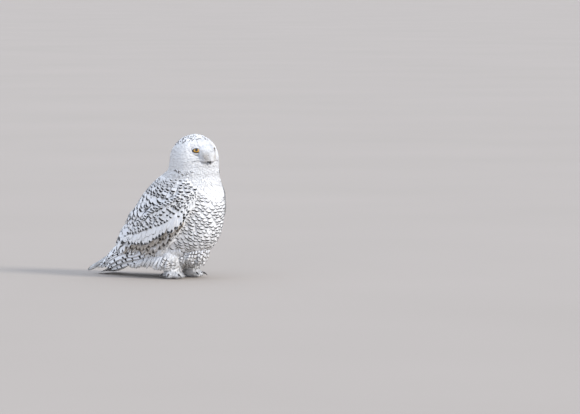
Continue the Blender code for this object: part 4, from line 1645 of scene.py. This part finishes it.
def leg_spacing(places):
    off, _ = near_legs(places)
    wanted = (places[:, 2] < LEG_TOP) & (off < LEG_WIDE) & (places[:, 2] > SOLE)
    return np.where(wanted, np.interp(places[:, 2], [0.0, 0.1], [0.0027, 0.0044]), 0)


def hang(tract, vane, places, normals, direction, charts, length, width, depth, **more):
    """Loose feathers that leave the surface and hang along `direction`."""
    length = np.broadcast_to(length, len(places))[:, None]
    tips = places + direction * length
    middle = places + direction * length * 0.5 + normals * length * 0.06
    tract.add(vane, places - normals * depth, middle, tips, normals, width, charts, **more)


places = scatter(leg_spacing, 60000)
normals = normals_at(places)
n = len(places)
_, outward = near_legs(places)
height = places[:, 2]
toe = share_of(0.034 - height, 0.012)[:, None]
outward3 = unit(np.stack([outward[:, 0], outward[:, 1], np.zeros(n)], axis=1))
flow = outward3 * toe * 1.6 + np.array([0, 0.12, -1.0]) * (1 - 0.8 * toe)
direction = lie(normals, flow + chance.normal(0, 0.14, flow.shape))
direction = unit(direction + np.array([0, 0, -0.25]) * (1 - toe) + normals * 0.10)
length = np.interp(height, [0.0, 0.03, 0.05, 0.09], [0.0065, 0.010, 0.017, 0.026])
length = length * chance.uniform(0.8, 1.2, n)
charts = np.stack([np.arctan2(outward[:, 1], outward[:, 0]) / (2 * math.pi) % 1, height / 0.1], axis=1)
charts[:, 0] = charts[:, 0] * 0.48 + np.where(places[:, 0] > 0, 0.5, 0)
keep = height + direction[:, 2] * length > 0.0012  # none reaches through the floor
tone = 0.03 + 0.08 * chance.random(keep.sum())
coat_legs = Tract("coat_legs")
hang(
    coat_legs, TUFT, *only(keep, places, normals, direction, charts, length, length * 0.27), 0.0020,
    tone=tone, camber=14.0, thick=0.0003, sweep=0.08,
)
coat_legs.build()

# %% [markdown]
# ## The loose skirt of the belly
# Under the belly and round the thighs the feathers are long and loose. They leave the skin and hang like a
# skirt over the legs, which hides most of them.

# %% Lay the skirt
chance = np.random.default_rng(63)
SKIRT_LOW, SKIRT_OUT, SKIRT_BACK, SKIRT_GAP = 0.044, 0.094, -0.19, 0.0042


def skirt_spacing(places):
    forward = head_axis.y - places[:, 1]
    top = np.interp(forward, [-0.06, 0.0, 0.09], [0.074, 0.080, 0.100])
    wanted = (places[:, 2] < top) & (places[:, 2] > SKIRT_LOW)
    wanted &= (np.abs(places[:, 0]) < SKIRT_OUT) & (forward > SKIRT_BACK)
    return np.where(wanted, SKIRT_GAP, 0)


places = scatter(skirt_spacing, 30000)
_, share, off = wing_places(places)
places = places[(off > 0.012) | (share > 0.99)]  # the wing's lower edge lies over the skirt
normals = normals_at(places)
forward = head_axis.y - places[:, 1]
n = len(places)
flow = np.stack([normals[:, 0] * 0.1, np.interp(forward, [-0.12, 0.05], [0.75, 0.15]), -np.ones(n)], axis=1)
low = share_of(0.105 - places[:, 2], 0.03)[:, None]
direction = lie(normals, flow) * (1 - 0.8 * low) + unit(flow) * 0.8 * low
direction = unit(direction + chance.normal(0, 0.10, (n, 3)))
rear = share_of(-0.02 - forward, 0.03) * share_of(forward + 0.13, 0.03)
ahead = share_of(forward - 0.01, 0.03)
length = chance.uniform(0.028, 0.036, n) + 0.014 * np.maximum(rear, ahead)
length = np.minimum(length, places[:, 2] - 0.022)
skirt = Tract("coat_skirt")
LOOSE = Vane(  # soft, with three thin bars
    rows=(0, 0.22, 0.30, 0.50, 0.58, 0.78, 0.87, 1.0),
    widths=(0.35, 0.85, 1.0, 1.0, 1.0, 0.95, 0.85, 0.5),
    curves=(0, 0.1, 0.15, 0.2, 0.25, 0.3, 0.33, 0.5),
    columns=4,
    bars=[1, 3, 5],
    split=4,
    fingers=(0.92, 0.84, 0.35),
    fray=0.05,
)
on_leg = (near_legs(places)[0] < 0.034) & (places[:, 2] < 0.050)
barred = (chance.random(n) < 0.92) & (forward > -0.05) & ~on_leg
charts = np.stack([places[:, 0] * 4 + 0.5, forward * 3 + 0.6], axis=1)
uneven = LOOSE.rows + np.where((LOOSE.rows > 0) & (LOOSE.rows < 1), chance.normal(0, 0.05, (n, 1)), 0)
hang(
    skirt, LOOSE, places, normals, direction, charts, length, 0.0082, 0.003, share=uneven,
    tone=0.03 + 0.08 * chance.random(n), bar=np.where(barred, BROWN, PLAIN), camber=8.0, sweep=0.05,
)
skirt.build()

# %% [markdown]
# ## Skin, bill and claws
# The skin shows only between the feathers, as soft grey-white down. It carries the coat's markings: a point
# of it is dark where a dark face of a feather lies close to it, so that a gap in a bar isn't white. Bill and
# claws keep their CAD shapes and get polished horn.

# %% Mark the skin under the bars
MARK_NEAR, MARK_FAR = 0.0030, 0.0048  # from a dark face: fully marked, and no longer marked
dark_faces = []
for thing in bpy.data.objects:
    if thing.type == "MESH" and white_vane.material in thing.data.materials[:]:
        faces = thing.data.polygons
        kinds = numbers(faces, "material_index", 1, np.int32)[:, 0]
        dark_faces.append(numbers(faces, "center", 3)[kinds != PLAIN])
dark_faces = np.concatenate(dark_faces)
nearest_dark = tree_of(dark_faces)
off = np.array([nearest_dark.find(point)[2] for point in coat_points])
marks = share_of(MARK_FAR - off, MARK_FAR - MARK_NEAR)
skin.data.attributes.new("marks", "FLOAT", "POINT").data.foreach_set("value", marks.astype(np.float32))
print("skin marked under", len(dark_faces), "dark faces, over", round(100 * marks.mean()), "% of it")

# %% Finish skin and horn
down = Shader("skin_down", 0.85, Specular_IOR_Level=0.2)
pale_down = down.mix(down.noise(120, 4.0), (0.74, 0.75, 0.78), (0.86, 0.86, 0.87))
down.feed("Base Color", down.mix(down.attribute("marks") * 0.9, pale_down, (0.030, 0.027, 0.027)))
down.bump(down.noise(600, 4.0), 0.0006, 0.7)
skin.data.materials.clear()
skin.data.materials.append(down.material)
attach(skin, "root")
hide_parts(*FLESH)

horn = Shader("black_horn", 0.32, Coat_Weight=0.3)
horn.feed("Base Color", horn.mix(horn.noise(240, 4.0), (0.010, 0.010, 0.011), (0.045, 0.042, 0.040)))
horn.bump(horn.noise(500, 3.0), 0.0001, 0.4)
for name in ["bill_upper", "bill_lower"] + [f"claw_{s}{k}" for s in "rl" for k in (1, 2, 3, 4)]:
    node = frame["nodes"][name]
    node.data.materials.clear()
    node.data.materials.append(horn.material)

# %% Sizes and finish
low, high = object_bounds()
print("visual box", [round(x, 4) for x in (*low, *high)])
